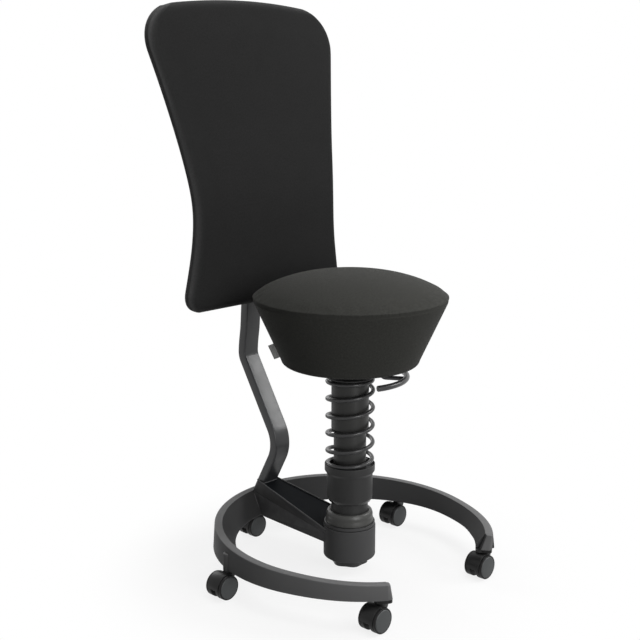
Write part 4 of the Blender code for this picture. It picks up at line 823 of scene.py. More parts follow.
# hub with its lip ring
hub = dict(radius=0.0545, inner=0.05035, top=0.0972, bottom=0.0288, floor=0.036, hole=0.0064,
           rounds=(0.0012, 0.0050, 0.0006, 0.0, 0.008, 0.0006))
hubLine = roundCorners([
    (hub["radius"], hub["top"]), (hub["radius"], hub["bottom"]), (hub["hole"], hub["bottom"]), (hub["hole"], hub["floor"]),
    (hub["inner"], hub["floor"]), (hub["inner"], hub["top"])], hub["rounds"], 8)
placePiece("hubCup", lathe(hubLine, 128), "hubPaint", "base", ("hub_cup",), 38.0, True)
lip = dict(inner=0.05035, outer=0.0531, low=0.0986, high=0.1060, dark=0.0016, rounds=(0.0010, 0.0, 0.0005, 0.0014))
lipLine = roundCorners([(lip["outer"], lip["low"]), (lip["inner"], lip["low"]), (lip["inner"], lip["high"]),
                        (lip["outer"], lip["high"])], lip["rounds"], 6)
lipPiece = placePiece("hubLip", lathe(lipLine, 128), "hubPaint", "base", ("hub_seal",), 38.0, True)
# painted shade: the lip's top band and its underside take the near-black hood plastic, for the dark grooves above and
# below the lip
paintFaces(lipPiece.data, "hoodPlastic", lambda face: face.center.z > lip["high"] - lip["dark"] or face.normal.z < -0.5)

# swing dome: round about the pivot, swelling to a shoulder above what passes the lip, under the neck, which is painted
# darker as painted shade under the sleeve
dome = dict(
    pivot=0.104, radius=0.05005, swell=0.0020, swellFrom=13.6, swellOver=8.6, wall=0.005, skirt=0.022, roundTo=23.0,
    neck=0.0381, neckTop=0.150, neckRound=0.0008, bore=0.0341, boreLow=0.1290, linerR=0.0372, flatten=0.86,
    shoulder=((0.0383, 0.1312), (0.0386, 0.1286), (0.0393, 0.1288), (0.0406, 0.1301), (0.0425, 0.1307), (0.0446, 0.1302),
              (0.0462, 0.1288), (0.0472, 0.1267)), neckShadeR=0.0388, neckShadeLow=0.1285)
domeLine = [(dome["neck"] - dome["neckRound"], dome["neckTop"]), (dome["neck"], dome["neckTop"] - dome["neckRound"])]
domeLine += dome["shoulder"]
skirtTurn = -math.asin(dome["skirt"] / dome["radius"])
for k in range(25):
    bend = lerp(math.radians(dome["roundTo"]), skirtTurn, k / 24.0)
    reach = dome["radius"] + dome["swell"] * ease((math.degrees(bend) - dome["swellFrom"]) / dome["swellOver"])
    domeLine.append((reach * math.cos(bend), dome["pivot"] + reach * math.sin(bend)))
lining = dome["radius"] - dome["wall"]
for k in range(13):
    bend = lerp(-math.asin(dome["skirt"] / lining), math.acos(dome["linerR"] / lining), k / 12.0)
    domeLine.append((lining * math.cos(bend), dome["pivot"] + dome["flatten"] * lining * math.sin(bend)))
domeLine += [(dome["bore"], dome["boreLow"]), (dome["bore"], dome["neckTop"])]
domePiece = placePiece("swingDome", lathe(domeLine, 128), "softRubber", "strut_low", ("swing_dome",))
# painted shade: the neck takes the darker black plastic where the sleeve shades it
paintFaces(domePiece.data, "blackPlastic", lambda face: (
    face.center.z > dome["neckShadeLow"] and math.hypot(face.center.x, face.center.y) < dome["neckShadeR"]))

# strut tubes, sleeve and collar
tubes = dict(lowerR=0.0337, lowerIn=0.0310, lowerTop=0.34996, lowerBottom=0.1503, lowerRound=0.0007,
             upperR=0.0388, upperIn=0.0368, upperTop=0.41416, upperBottom=0.30116, lead=0.0065, leadIn=0.0016,
             upperRounds=(0.0006, 0.003, 0.0003, 0.0, 0.0))
lowerLine = roundCorners([
    (tubes["lowerR"], tubes["lowerTop"]), (tubes["lowerR"], tubes["lowerBottom"]), (tubes["lowerIn"], tubes["lowerBottom"]),
    (tubes["lowerIn"], tubes["lowerTop"])], tubes["lowerRound"], 3)
placePiece("lowerTube", lathe(lowerLine, 96), "strutPaint", "strut_low", ("lower_tube",), 38.0, True)
upperLine = roundCorners([
    (tubes["upperR"], tubes["upperTop"]), (tubes["upperR"], tubes["upperBottom"] + tubes["lead"]),
    (tubes["upperR"] - tubes["leadIn"], tubes["upperBottom"]), (tubes["upperIn"], tubes["upperBottom"]),
    (tubes["upperIn"], tubes["upperTop"])], tubes["upperRounds"], 5)
placePiece("upperTube", lathe(upperLine, 96), "strutPaint", "strut_high", ("upper_tube",), 38.0, True)
sleeve = dict(bottom=0.1511, footR=0.0437, bevelTop=0.1582, cupBottom=0.2105, taper=0.0062, cupFloor=0.222, cupTop=0.2310,
              radius=0.0476, cupR=0.05237, cupIn=0.05057, bore=0.0341, bevelFrom=0.0004,
              rounds=(0.0008, 0.005, 0.003, 0.0012, 0.0006, 0.0005, 0.0, 0.002, 0.0007))
sleeveLine = roundCorners([
    (sleeve["cupR"], sleeve["cupTop"]), (sleeve["cupR"], sleeve["cupBottom"] + sleeve["taper"]),
    (sleeve["radius"], sleeve["cupBottom"]), (sleeve["radius"], sleeve["bevelTop"]), (sleeve["footR"], sleeve["bottom"]),
    (sleeve["bore"], sleeve["bottom"]), (sleeve["bore"], sleeve["cupFloor"]), (sleeve["cupIn"], sleeve["cupFloor"]),
    (sleeve["cupIn"], sleeve["cupTop"])], sleeve["rounds"], 6)
sleevePiece = placePiece("springSleeve", lathe(sleeveLine, 128), "blackPlastic", "spring_perch",
                         ("spring_sleeve",), 38.0, True)
paintFaces(sleevePiece.data, "edgeGloss", lambda face: (
    sleeve["bottom"] + sleeve["bevelFrom"] < face.center.z < sleeve["bevelTop"] and -0.9 < face.normal.z < -0.2))
collar = dict(radius=0.04802, low=0.41446, top=0.41716, hubR=0.032, hubTop=0.42316, skirtR=0.0400, skirtLow=0.40596,
              inner=0.0391, bore=0.0253, rounds=(0.001, 0.0025, 0.001, 0.0008, 0.0, 0.0003, 0.0, 0.0, 0.0, 0.0))
collarLine = roundCorners([
    (collar["hubR"], collar["hubTop"]), (collar["hubR"], collar["top"]), (collar["radius"], collar["top"]),
    (collar["radius"], collar["low"]), (collar["skirtR"], collar["low"]), (collar["skirtR"], collar["skirtLow"]),
    (collar["inner"], collar["skirtLow"]), (collar["inner"], collar["low"]), (collar["bore"], collar["low"]),
    (collar["bore"], collar["hubTop"])], collar["rounds"], 5)
placePiece("springCollar", lathe(collarLine, 96), "blackPlastic", "strut_high", ("spring_collar",), 38.0, True)
print("hub, dome and strut made")

# coil spring, drawn by the wire tree
spring = dict(radius=0.0459, swell=0.0012, wire=0.0043, low=0.22605, footRise=0.018, footTurns=1.0, pitch=0.0369, turns=4.4,
              headTurns=0.75, headRise=0.004, phase=math.radians(131.7), perTurn=48)
bodyEnd = spring["footTurns"] + spring["turns"]
allTurns = bodyEnd + spring["headTurns"]
springTop = spring["low"] + spring["footRise"] + spring["turns"] * spring["pitch"] + spring["headRise"]
springPoints = []
count = round(allTurns * spring["perTurn"])
for k in range(count + 1):
    t = allTurns * k / count
    if t < spring["footTurns"]:
        z = spring["low"] + spring["footRise"] * (t / spring["footTurns"]) ** 1.5
    elif t < bodyEnd:
        z = spring["low"] + spring["footRise"] + spring["pitch"] * (t - spring["footTurns"])
    else:
        z = springTop - spring["headRise"] * (1.0 - (t - bodyEnd) / spring["headTurns"]) ** 2
    angle = spring["phase"] + 2.0 * math.pi * (t - bodyEnd)
    reach = spring["radius"] + spring["swell"] * ease(t - 0.6) * ease(allTurns - t)
    springPoints.append((reach * math.cos(angle), reach * math.sin(angle), z))
springMesh = wireMesh("coilSpring", springPoints, spring["wire"], 16, "springSteel")
springPiece = placePiece("coilSpring", springMesh, "springSteel", "strut_low", ("coil_spring",), 50.0)
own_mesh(springPiece)
print("coil spring drawn:", len(springMesh.polygons), "faces")

# gas lift where it shows under the seat
softened("gas_cylinder", "gasCylinder", "strutPaint", "seat", 0.0008, sharp=38.0, rub=False)

# release lever: leg and curved grip, both drawn by the wire tree
lever = dict(rod=0.0045, grip=0.0061, angle=math.radians(-60.0), arcR=0.1152, left=math.radians(50.5),
             right=math.radians(45.0), gripZ=0.41766, pivotZ=0.47436, inEnd=-0.003, leg=0.063, bend=0.011, pivot=0.046,
             pinR=0.0022, pinHalf=0.02, endRound=0.0012, arcSteps=60)
legTurn = Matrix.Rotation(lever["angle"], 4, "Z")
legCorners = ((lever["inEnd"], lever["pivotZ"]), (lever["leg"], lever["pivotZ"]), (lever["leg"], lever["gripZ"]),
              (lever["arcR"], lever["gripZ"]))
legPath = bentPath([Vector((x, 0.0, z)) for x, z in legCorners], (lever["bend"], lever["bend"]), 12)
arcPath = []
for k in range(lever["arcSteps"] + 1):
    angle = lever["angle"] + lerp(-lever["left"], lever["right"], k / lever["arcSteps"])
    arcPath.append((lever["arcR"] * math.cos(angle), lever["arcR"] * math.sin(angle), lever["gripZ"]))
legBody = fromMesh(wireMesh("leverLeg", [legTurn @ p for p in legPath], lever["rod"], 20, "springSteel"))
arcBody = fromMesh(wireMesh("leverArc", arcPath, lever["grip"], 24, "springSteel"))
ends = [edge for edge in arcBody.edges if len(edge.link_faces) == 2 and edge.calc_face_angle(0.0) > 1.2]
bmesh.ops.bevel(arcBody, geom=ends, offset=lever["endRound"], segments=4, profile=0.5, affect="EDGES", clamp_overlap=True)
pinTurn = (legTurn @ Matrix.Translation((lever["pivot"], 0.0, lever["pivotZ"]))
           @ Matrix.Rotation(math.radians(90.0), 4, "X"))
pinLine = [(0.0, lever["pinHalf"]), (lever["pinR"], lever["pinHalf"]), (lever["pinR"], -lever["pinHalf"]),
           (0.0, -lever["pinHalf"])]
pinHole = moved(lathe(pinLine, 20), pinTurn)
leverMesh = shaped("releaseLever", legBody, [("UNION", arcBody), ("DIFFERENCE", pinHole)])
placePiece("releaseLever", leverMesh, "springSteel", "lever", ("release_lever",), 45.0)
print("release lever drawn")

# back bar: flat tube with round corners, bent twice, slimmer where the sleeve rides
bar = dict(width=0.043, thick=0.021, endWidth=0.037, endThick=0.016, endFrom=0.555, endTo=0.592, forward=0.003,
           forwardFrom=0.02, forwardOver=0.05, corner=0.0035, foot=(0.2595, 0.11013), kneeRise=0.118,
           kneeLean=math.radians(28.4), elbow=(0.303451, 0.4123), topZ=0.72, topLean=math.radians(4.0), kneeBend=0.070,
           elbowBend=0.035, topSteps=30, floorSlope=0.104167, weld=0.0012)
footPoint = Vector((0.0, *bar["foot"]))
knee = footPoint + Vector((0.0, -bar["kneeRise"] * math.tan(bar["kneeLean"]), bar["kneeRise"]))
elbow = Vector((0.0, *bar["elbow"]))
topPoint = Vector((0.0, elbow.y - (bar["topZ"] - elbow.z) * math.tan(bar["topLean"]), bar["topZ"]))
barPath = bentPath([footPoint, knee, elbow, topPoint], (bar["kneeBend"], bar["elbowBend"]), 20)
barEnd = barPath.pop()
barPath += [barPath[-1].lerp(barEnd, k / bar["topSteps"]) for k in range(1, bar["topSteps"] + 1)]
barRows = []
for k, spot in enumerate(barPath):
    ahead = (barPath[min(k + 1, len(barPath) - 1)] - barPath[max(k - 1, 0)]).normalized()
    level = Vector((0.0, ahead.z, -ahead.y))
    slim = ease((spot.z - bar["endFrom"]) / (bar["endTo"] - bar["endFrom"]))
    wide = lerp(bar["width"], bar["endWidth"], slim) / 2.0
    deep = lerp(bar["thick"], bar["endThick"], slim) / 2.0
    nudge = bar["forward"] * ease((spot.z - elbow.z - bar["forwardFrom"]) / bar["forwardOver"]) * (1.0 - slim)
    row = []
    for acrossBar, through in roundCorners([(wide, -deep), (wide, deep), (-wide, deep), (-wide, -deep)], bar["corner"], 6):
        point = spot + Vector((acrossBar, 0.0, 0.0)) + level * (through - nudge)
        if k == 0:
            short = footPoint.z + (point.y - footPoint.y) * bar["floorSlope"] - point.z
            point += ahead * (short / (ahead.z - ahead.y * bar["floorSlope"]))
        row.append(point)
    barRows.append(row)
placePiece("backBar", loft(barRows), "barPaint", "base", ("back_bar",), 40.0, True)
# light weld line where the bar's foot comes through the cover, in the same lighter paint as the painted highlights
weldSlope = (rim["ringEnd"][2] - rim["hubEnd"][2]) / (rim["ringEnd"][1] - rim["hubEnd"][1])
footAhead = (barPath[1] - barPath[0]).normalized()
weldPoints = []
for point in barRows[0]:
    coverZ = rim["hubEnd"][2] + weldSlope * (point.y - rim["hubEnd"][1]) - cover["sink"]
    weldPoints.append(point + footAhead * ((coverZ - point.z) / (footAhead.z - weldSlope * footAhead.y)))
weldMesh = wireMesh("barWeld", weldPoints, bar["weld"], 8, "rimPaint", True)
placePiece("barWeld", weldMesh, "rimPaint", "base", (), 60.0, True)
print("back bar made")

# knobs with softened lobes; the tilt knob is wider than its solid and clear of the lower hub
knob = dict(wider=1.11, studR=0.010, cadLow=0.0155, cadTop=0.0307, low=0.0139, top=0.0284, play=0.0003)
knobMade = refinedCopy("tilt_knob", 0.0018, 4, 60.0)
for v in knobMade.verts:
    if v.co.z < knob["cadTop"] + knob["play"]:
        wider = knob["wider"] if math.hypot(v.co.x, v.co.y) > knob["studR"] else 1.0
        z = lerp(knob["low"], knob["top"], (v.co.z - knob["cadLow"]) / (knob["cadTop"] - knob["cadLow"]))
        v.co = Vector((v.co.x * wider, v.co.y * wider, z))
placePiece("tiltKnob", knobMade, "blackPlastic", "tilt_adjuster", ("tilt_knob",), 40.0, True)
softened("clamp_knob", "clampKnob", "blackPlastic", "back_clamp", 0.0018, 4, 60.0)
softened("back_sleeve", "backSleeve", "blackPlastic", "backrest", 0.0012, 3, 40.0)
softened("seat_base_cover", "seatUnderCover", "blackPlastic", "seat", 0.0008, 3, 50.0)

# screws in the under cover, one tree for all
screw = dict(radius=0.0042, rise=0.0016, count=6, ring=0.096, coverZ=0.44266,
             profile=((0.0, -1.0), (0.5, -0.92), (0.85, -0.55), (1.0, 0.0), (0.6, 0.25), (0.0, 0.25)))
screwLine = [(screw["radius"] * r, screw["rise"] * z) for r, z in screw["profile"]]
screwPart = toObject("screwPart", toMesh("screwPart", lathe(screwLine, 16)))


def screwCircle(name, count, radius, place, tilt, body):
    mesh = grown(name, circleTree, bpy.data.meshes.new(name), {
        "Part": screwPart, "Count": count, "Radius": radius, "Place": place, "Tilt": tilt, "Material": finishes["bareSteel"]})
    placePiece(name, mesh, "bareSteel", body, (), 40.0)


screwCircle("coverScrews", screw["count"], screw["ring"], (0.0, 0.0, screw["coverZ"]), (0.0, 0.0, 0.0), "seat")
print("knobs and screws made")

# castors: capped twin wheels on a drum-like hood
castor = dict(trail=0.018, wheelR=0.025, discFrom=0.0157, discR=0.0219, coverR=0.0264, coverIn=0.0254, coverHalf=0.0149,
              web=0.0060, webR=0.0236, coverTurns=(-4.0, 184.0), coverThin=0.25, thinOver=20.0,
              cutTurns=(188.0, 352.0), cutIn=0.0150, cutOut=0.0320, cutHalf=0.009, lugFrom=0.019, lugRound=0.0045,
              lug=((0.0340, 0.0285, 0.0), (0.0400, 0.0335, 0.0), (0.0460, 0.0352, 0.0), (0.0514, 0.0355, 0.0),
                   (0.0521, 0.0355, 0.0008)))
wheelLine = roundCorners([
    (0.0, 0.0158), (0.0034, 0.0158), (0.0034, 0.0065), (castor["wheelR"], 0.0065), (castor["wheelR"], 0.0150),
    (0.0226, 0.0150), (0.0226, castor["discFrom"]), (0.0249, castor["discFrom"]), (0.0249, 0.0209), (0.0224, 0.0209),
    (0.0219, 0.0203), (0.0214, 0.0212), (0.0206, 0.0217), (0.0060, 0.0222), (0.0, 0.0222)],
    [0.0, 0.0, 0.0, 0.0012, 0.0006, 0.0, 0.0, 0.0006, 0.0012, 0.0, 0.0, 0.0, 0.0012, 0.0, 0.0], 5, False)


def castorWheel(side):
    made = lathe(wheelLine, 72)
    if side < 0:
        bmesh.ops.scale(made, vec=(1.0, 1.0, -1.0), verts=made.verts)
    return moved(made, Matrix.Rotation(math.radians(-90.0), 4, "X"))


hoodAxle = castorSpots["back"] + Vector((-castor["trail"], 0.0, castor["wheelR"]))


def roundAxle(r, y, angle):
    return hoodAxle + Vector((r * math.cos(angle), y, r * math.sin(angle)))


# hood: the drum between the wheels, cut back below the axle, and a cover over their upper halves
coverOutline = roundCorners([
    (castor["coverR"], -castor["coverHalf"]), (castor["coverR"], castor["coverHalf"]),
    (castor["coverIn"], castor["coverHalf"]), (castor["coverIn"], castor["web"]), (castor["webR"], castor["web"]),
    (castor["webR"], -castor["web"]), (castor["coverIn"], -castor["web"]), (castor["coverIn"], -castor["coverHalf"])],
    [0.0008, 0.0008, 0.0002, 0.0, 0.0, 0.0, 0.0, 0.0002], 4)
coverRows = []
firstTurn, lastTurn = (math.radians(a) for a in castor["coverTurns"])
for k in range(45):
    angle = math.radians(lerp(*castor["coverTurns"], k / 44.0))
    fromEnd = min(angle - firstTurn, lastTurn - angle) / math.radians(castor["thinOver"])
    thin = lerp(castor["coverThin"], 1.0, ease(fromEnd))
    row = []
    for r, y in coverOutline:
        r = castor["coverIn"] + (r - castor["coverIn"]) * (thin if r > castor["coverIn"] else 1.0)
        row.append(roundAxle(r, y, angle))
    coverRows.append(row)
cutCorners = ((castor["cutIn"], -castor["cutHalf"]), (castor["cutOut"], -castor["cutHalf"]),
              (castor["cutOut"], castor["cutHalf"]), (castor["cutIn"], castor["cutHalf"]))
cutRows = []
for k in range(33):
    angle = math.radians(lerp(*castor["cutTurns"], k / 32.0))
    cutRows.append([roundAxle(r, y, angle) for r, y in cutCorners])
# a lug reaches forward from the post
lugRows = []
for z, reach, less in castor["lug"]:
    lug = roundCorners([
        (castor["lugFrom"], -castor["web"] + less), (reach - less, -castor["web"] + less),
        (reach - less, castor["web"] - less), (castor["lugFrom"], castor["web"] - less)],
        [0.0, castor["lugRound"], castor["lugRound"], 0.0], 5)
    lugRows.append([Vector((hoodAxle.x + x, hoodAxle.y + y, z)) for x, y in lug])
hoodShape = shaped("castorHood", refinedCopy("castor_hood_back", 0.0009, 3, 40.0),
                   [("UNION", loft(coverRows)), ("DIFFERENCE", loft(cutRows)), ("UNION", loft(lugRows))])

for spotName, spot in castorSpots.items():
    axle = Matrix.Translation(spot + Vector((-castor["trail"], 0.0, castor["wheelR"])))

    def onDisc(face):
        fromAxle = math.hypot(face.center.x - spot.x + castor["trail"], face.center.z - castor["wheelR"])
        return abs(face.center.y - spot.y) > castor["discFrom"] + 1e-5 and fromAxle < castor["discR"]

    for side, word in ((-1, "front"), (1, "rear")):
        ending = "%s_%s" % (word, spotName)
        wheel = placePiece("castorWheel_" + ending, moved(castorWheel(side), axle), "tyreRubber", "wheel_" + ending,
                           ("castor_wheel_" + ending,), 40.0, True)
        paintFaces(wheel.data, "discPlastic", onDisc)
    hoodMesh = hoodShape.copy()
    hoodMesh.transform(Matrix.Translation(spot - castorSpots["back"]))
    placePiece("castorHood_" + spotName, hoodMesh, "hoodPlastic", "castor_" + spotName,
               ("castor_hood_" + spotName,), 40.0, True)
print("castors made:", len(castorSpots))

# padding: a cover filled by cloth pressure, no point moving further than its cap
sheet = dict(quality=6, mass=0.3, tension_stiffness=20.0, compression_stiffness=20.0, shear_stiffness=8.0,
             bending_stiffness=2.0, use_pressure=True, vertex_group_mass="held")
sheetFrames = 20


def fillCover(name, made, held, pressure, cap):
    mesh = toMesh(name, made)
    obj = toObject(name, mesh)
    group = obj.vertex_groups.new(name="held")
    rest = [v.co.copy() for v in mesh.vertices]
    for v in mesh.vertices:
        if held(v.co):
            group.add([v.index], 1.0, "REPLACE")
    cloth = obj.modifiers.new("cover", "CLOTH")
    for key, value in sheet.items():
        setattr(cloth.settings, key, value)
    cloth.settings.uniform_pressure_force = pressure
    cloth.settings.effector_weights.gravity = 0.0
    cloth.point_cache.frame_start = 1
    cloth.point_cache.frame_end = sheetFrames
    for number in range(1, sheetFrames + 1):
        scene.frame_set(number)
    graph = bpy.context.evaluated_depsgraph_get()
    swollen = [v.co.copy() for v in obj.evaluated_get(graph).data.vertices]
    obj.modifiers.remove(cloth)
    most = 0.0
    for v, start, end in zip(mesh.vertices, rest, swollen):
        shift = end - start
        length = shift.length
        if length > 1e-9:
            shift *= cap * math.tanh(length / cap) / length
        most = max(most, shift.length)
        v.co = start + shift
    scene.frame_set(1)
    bpy.data.objects.remove(obj, do_unlink=True)
    print(name, "filled, largest move mm: %.2f" % (1000.0 * most))
    return mesh


def smoothed(name, mesh):
    obj = toObject(name, mesh)
    finer = obj.modifiers.new("finer", "SUBSURF")
    finer.levels = 1
    finer.render_levels = 1
    return frozen(obj)


def clothMap(mesh, spread):
    # a cloth map in metres
    layer = mesh.uv_layers.new(name="cloth")
    for loop in mesh.loops:
        layer.data[loop.index].uv = spread(mesh.vertices[loop.vertex_index].co)


# seat: domed top, crisp soft rim and a cone under it
seat = dict(bottom=0.44266, rim=0.58466, radius=0.1983, rimOut=0.0024, rimRound=0.0055, crown=0.0467, power=2.5, footR=0.122,
            footIn=0.005, skirtR=0.1416, skirtH=0.012, pocketR=0.1116, pocketLow=0.004, pocketTop=0.49696, sides=144,
            near=0.002, heldRim=0.0075, heldHalf=0.004, heldR=0.19, seam=0.0062, seamDeep=0.0015, seamHalf=0.0020,
            seamR=0.17, seamLow=0.03, pressure=4.0, cap=0.0025, mapR=0.17, mapRim=0.006)
edgeR = seat["radius"] + seat["rimOut"]
coneFoot = seat["bottom"] + seat["skirtH"]
crownLine = []
for k in range(27):
    share = math.sin(math.radians(90.0) * k / 26.0)
    crownLine.append((edgeR * share, seat["rim"] + seat["crown"] * (1.0 - share ** seat["power"])))
coneSteps = [0.028, 0.036, 0.044, 0.052, 0.060, 0.068, 0.080, 0.10] + [0.10 + 0.05 * k for k in range(1, 19)]
coneLine = [(lerp(edgeR, seat["skirtR"], t), lerp(seat["rim"], coneFoot, t)) for t in coneSteps]
# the rounded rim runs from the last crown points over the corner to the first cone points
corner = roundCorners([crownLine[-4], (edgeR, seat["rim"]), coneLine[2]], [0.0, seat["rimRound"], 0.0], 8, False)
seatLine = crownLine[:-4] + [tuple(p) for p in corner] + coneLine[3:]
for k in range(1, 9):
    s = math.radians(90.0) * k / 8.0
    seatLine.append((lerp(seat["footR"], seat["skirtR"], math.cos(s)),
                     seat["bottom"] + seat["skirtH"] * (1.0 - math.sin(s))))
pocketStart = seat["bottom"] + seat["pocketLow"]
seatLine += [(seat["footR"] - seat["footIn"], seat["bottom"]), (seat["pocketR"], seat["bottom"])]
seatLine += [(seat["pocketR"], lerp(pocketStart, seat["pocketTop"], k / 5.0)) for k in range(6)]
seatLine += [(seat["pocketR"] * k, seat["pocketTop"]) for k in (0.9, 0.6, 0.3, 0.0)]


def seatHeld(co):
    r = math.hypot(co.x, co.y)
    inPocket = r < seat["pocketR"] + seat["near"] and co.z < seat["pocketTop"] + seat["near"]
    onRim = abs(co.z - seat["rim"] + seat["heldRim"]) < seat["heldHalf"] and r > seat["heldR"]
    return inPocket or onRim or co.z < seat["bottom"] + seat["heldHalf"]


seatMesh = fillCover("seatPad", lathe(seatLine, seat["sides"]), seatHeld, seat["pressure"], seat["cap"])
# seam where the top panel meets the side: a shallow crease under the welt
for v in seatMesh.vertices:
    r = math.hypot(v.co.x, v.co.y)
    if r > seat["seamR"] and v.co.z > seat["rim"] - seat["seamLow"]:
        d = v.co.z - (seat["rim"] - seat["seam"])
        sink = seat["seamDeep"] * math.exp(-(d / seat["seamHalf"]) ** 2)
        v.co.x -= v.co.x / r * sink
        v.co.y -= v.co.y / r * sink
seatMesh = smoothed("seatPad", seatMesh)


def seatSpread(co):
    # flat on the top, round the strut and down on the side
    if co.z > seat["rim"] - seat["mapRim"]:
        return co.x, co.y
    return math.atan2(co.y, co.x) * seat["mapR"], co.z


clothMap(seatMesh, seatSpread)
seatPiece = placePiece("seatPad", seatMesh, "seatCloth", "seat", ("seat_cushion",), 70.0)
print("seat made:", len(seatMesh.polygons), "faces")

# blank tag sewn into the side seam of the seat
tag = dict(angle=math.radians(133.0), low=0.4568, high=0.4850, out=0.0125, sewn=0.003, thick=0.0009, wave=0.0008, droop=0.42)
outward = Vector((math.cos(tag["angle"]), math.sin(tag["angle"]), 0.0))
sideways = Vector((-math.sin(tag["angle"]), math.cos(tag["angle"]), 0.0))
tagMade = bmesh.new()
tagGrid = []
for i in range(9):
    z = lerp(tag["low"], tag["high"], i / 8.0)
    base = lerp(seat["skirtR"], edgeR, (z - seat["bottom"] - seat["skirtH"]) / (seat["rim"] - seat["bottom"] - seat["skirtH"]))
    row = []
    for j in range(7):
        reach = base - tag["sewn"] + (tag["out"] + tag["sewn"]) * j / 6.0
        wavy = tag["wave"] * math.sin(3.0 * j / 6.0 + 2.0 * i / 8.0)
        point = outward * reach + sideways * wavy + Vector((0.0, 0.0, z - tag["droop"] * (reach - base)))
        row.append(tagMade.verts.new(point))
    tagGrid.append(row)
for a, b in zip(tagGrid, tagGrid[1:]):
    for j in range(6):
        tagMade.faces.new((a[j], a[j + 1], b[j + 1], b[j]))
tagMesh = bpy.data.meshes.new("seatTag")
tagMade.to_mesh(tagMesh)
tagMade.free()
clothMap(tagMesh, lambda co: (co.dot(outward), co.z))
tagObject = toObject("seatTag", tagMesh)
thicker = tagObject.modifiers.new("thicker", "SOLIDIFY")
thicker.thickness = tag["thick"]
thicker.offset = 0.0
placePiece("seatTag", frozen(tagObject), "tagCloth", "seat", (), 50.0)

# backrest: waisted pad with rolled edges and an arched top
back = dict(low=0.5425, high=1.1708, waistZ=0.7634, waistW=0.3953, flare=0.46, flareSoft=0.096, frontY=0.222, up=0.2116,
            down=0.0631, soft=0.0528, arch=0.0245, archH=0.25, topRound=0.1010, lowRound=0.044, thick=0.0290, grow=0.0078,
            growFrom=0.64, growOver=0.20, roll=0.016, crown=0.004, middleZ=0.85, inset=0.004, insetOver=0.010,
            endRow=0.002, held=0.012, pressure=3.0, cap=0.0025, borderFrom=0.001, borderOver=0.012, innerBorder=0.3)


def backFront(z):
    d = z - back["waistZ"]
    slant = (back["up"] - back["down"]) / 2.0
    bend = (back["up"] + back["down"]) / 2.0
    return back["frontY"] + slant * d + bend * (math.hypot(d, back["soft"]) - back["soft"])


def backHalf(z):
    d = z - back["waistZ"]
    waisted = (back["waistW"] + back["flare"] * (math.hypot(d, back["flareSoft"]) - back["flareSoft"])) / 2.0
    return waisted + back["grow"] * ease((z - back["growFrom"]) / back["growOver"])


def backEdge(z):
    half = backHalf(z)
    for room, bend in ((back["high"] - z, back["topRound"]), (z - back["low"], back["lowRound"])):
        if room < bend:
            half -= bend - math.sqrt(max(0.0, bend * bend - (bend - room) ** 2))
    return half


def archDrop(x, z):
    t = max(0.0, (z - back["high"]) / back["archH"] + 1.0)
    return back["arch"] * (t * x / backHalf(back["high"])) ** 2


def rollBack(distance):
    if distance >= back["roll"]:
        return 0.0
    return back["roll"] - math.sqrt(max(0.0, back["roll"] ** 2 - (back["roll"] - distance) ** 2))


def quarter(k, count):
    return math.radians(90.0) * k / count


padRows = [back["low"] + back["lowRound"] * (1.0 - math.cos(quarter(k, 12.0))) for k in range(13)]
padRows += [lerp(back["low"] + back["lowRound"], back["high"] - back["topRound"], k / 44.0) for k in range(1, 45)]
padRows += [back["high"] - back["topRound"] + back["topRound"] * math.sin(quarter(k, 18.0)) for k in range(1, 19)]
padFront = []
padBack = []
for z in padRows:
    half = backEdge(z)
    right = [half - back["roll"] * (1.0 - math.cos(quarter(k, 6.0))) for k in range(7)]
    right += [(half - back["roll"]) * (1.0 - k / 14.0) for k in range(1, 14)]
    fromEnd = min(z - back["low"], back["high"] - z)
    frontRow = []
    backRow = []
    for x in [-x for x in right] + [0.0] + right[::-1]:
        near = min(half - abs(x), fromEnd)
        crown = back["crown"] * (1.0 - (x / half) ** 2) * min(1.0, near / (4.0 * back["roll"]))
        frontRow.append(Vector((x, backFront(z) + rollBack(near) - crown, z - archDrop(x, z))))
        inset = back["inset"] * ease(1.0 - near / back["insetOver"])
        x *= 1.0 - inset / half
        backZ = z - math.copysign(inset, z - back["middleZ"]) * (fromEnd < back["endRow"])
        backRow.append(Vector((x, backFront(z) + back["thick"], backZ - archDrop(x, backZ))))
    padFront.append(frontRow)
    padBack.append(backRow)


def fromFront(co):
    return co.y - backFront(co.z)


padMesh = fillCover("backPad", slab(padFront, padBack), lambda co: fromFront(co) > back["held"], back["pressure"], back["cap"])
padMesh = smoothed("backPad", padMesh)
clothMap(padMesh, lambda co: (co.x + math.copysign(fromFront(co), co.x), co.z))
# the rolled border shows lighter than the panel: partly painted light where the rolled edge catches the light, partly a
# border cloth of its own
borderLightMark = padMesh.attributes.new("border", "FLOAT", "POINT")
for v in padMesh.vertices:
    level = min(v.co.z + archDrop(v.co.x, v.co.z), back["high"])
    fromSide = backEdge(max(level, back["low"])) - abs(v.co.x)
    depth = ease((v.co.y - backFront(level) - back["borderFrom"]) / back["borderOver"])
    borderLightMark.data[v.index].value = depth * (1.0 if fromSide < back["roll"] else back["innerBorder"])
padPiece = placePiece("backPad", padMesh, "backCloth", "backrest", ("back_cushion",), 70.0)
print("back pad made:", len(padMesh.polygons), "faces")

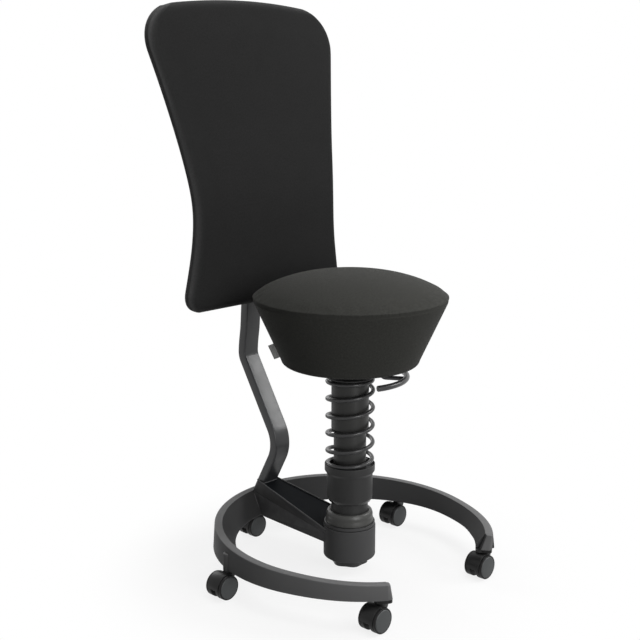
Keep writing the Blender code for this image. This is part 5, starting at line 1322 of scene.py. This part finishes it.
# shell behind the pad, with its screws and a sewn hem round it
softened("back_shell", "backShell", "blackPlastic", "backrest", 0.0016, 3, 50.0)
shellScrew = dict(count=4, ring=0.048, z=0.65, behind=0.0315, tilt=(math.radians(92.9), math.radians(45.0), 0.0))
screwCircle("shellScrews", shellScrew["count"], shellScrew["ring"],
            (0.0, backFront(shellScrew["z"]) + shellScrew["behind"], shellScrew["z"]), shellScrew["tilt"], "backrest")
bpy.data.objects.remove(screwPart, do_unlink=True)
stitch = dict(length=0.0032, thick=0.0005, taper=0.35, pitch=0.0048, inside=0.0035, behind=0.0004, lowZ=0.62, highZ=1.05)
stitchRows = []
for k in range(5):
    thick = stitch["thick"] * (1.0 if 0 < k < 4 else stitch["taper"])
    turns = [math.pi * n / 3.0 for n in range(6)]
    stitchRows.append([(lerp(-0.5, 0.5, k / 4.0) * stitch["length"], thick * math.cos(a), thick * math.sin(a)) for a in turns])
stitchPart = toObject("stitchPart", toMesh("stitchPart", loft(stitchRows)))
hemPoints = []
for i, j in gridBorder(len(padBack), len(padBack[0])):
    p = padBack[i][j]
    centre = Vector((0.0, p.y, min(max(p.z, stitch["lowZ"]), stitch["highZ"])))
    hemPoints.append(p + (centre - p).normalized() * stitch["inside"] + Vector((0.0, stitch["behind"], 0.0)))
stitchMesh = grown("backHem", stitchTree, pathMesh("hemPath", hemPoints, True), {
    "Part": stitchPart, "Pitch": stitch["pitch"], "Material": finishes["backCloth"]})
bpy.data.objects.remove(stitchPart, do_unlink=True)
if not stitchMesh.uv_layers:
    stitchMesh.uv_layers.new(name="cloth")
placePiece("backHem", stitchMesh, "backCloth", "backrest", (), 60.0)
print("hem stitched:", len(stitchMesh.polygons), "faces")

# solids that stay as they are get their finishes
plain = {"lower_yoke": "bareSteel", "swing_buffer": "softRubber", "swing_cross": "springSteel", "upper_yoke": "bareSteel",
         "guide_bush": "slideBush", "gas_tube": "strutPaint", "gas_bush": "slideBush", "piston_rod": "bareSteel",
         "valve_button": "bareSteel", "seat_pan": "bareSteel", "seat_board": "plyBoard", "lever_pin": "bareSteel"}
for spotName in castorSpots:
    plain["castor_stem_" + spotName] = "bareSteel"
    plain["castor_axle_" + spotName] = "bareSteel"
for node, finish in plain.items():
    for place in nodes[node].material_slots:
        place.material = finishes[finish]
print("plain solids painted:", len(plain))
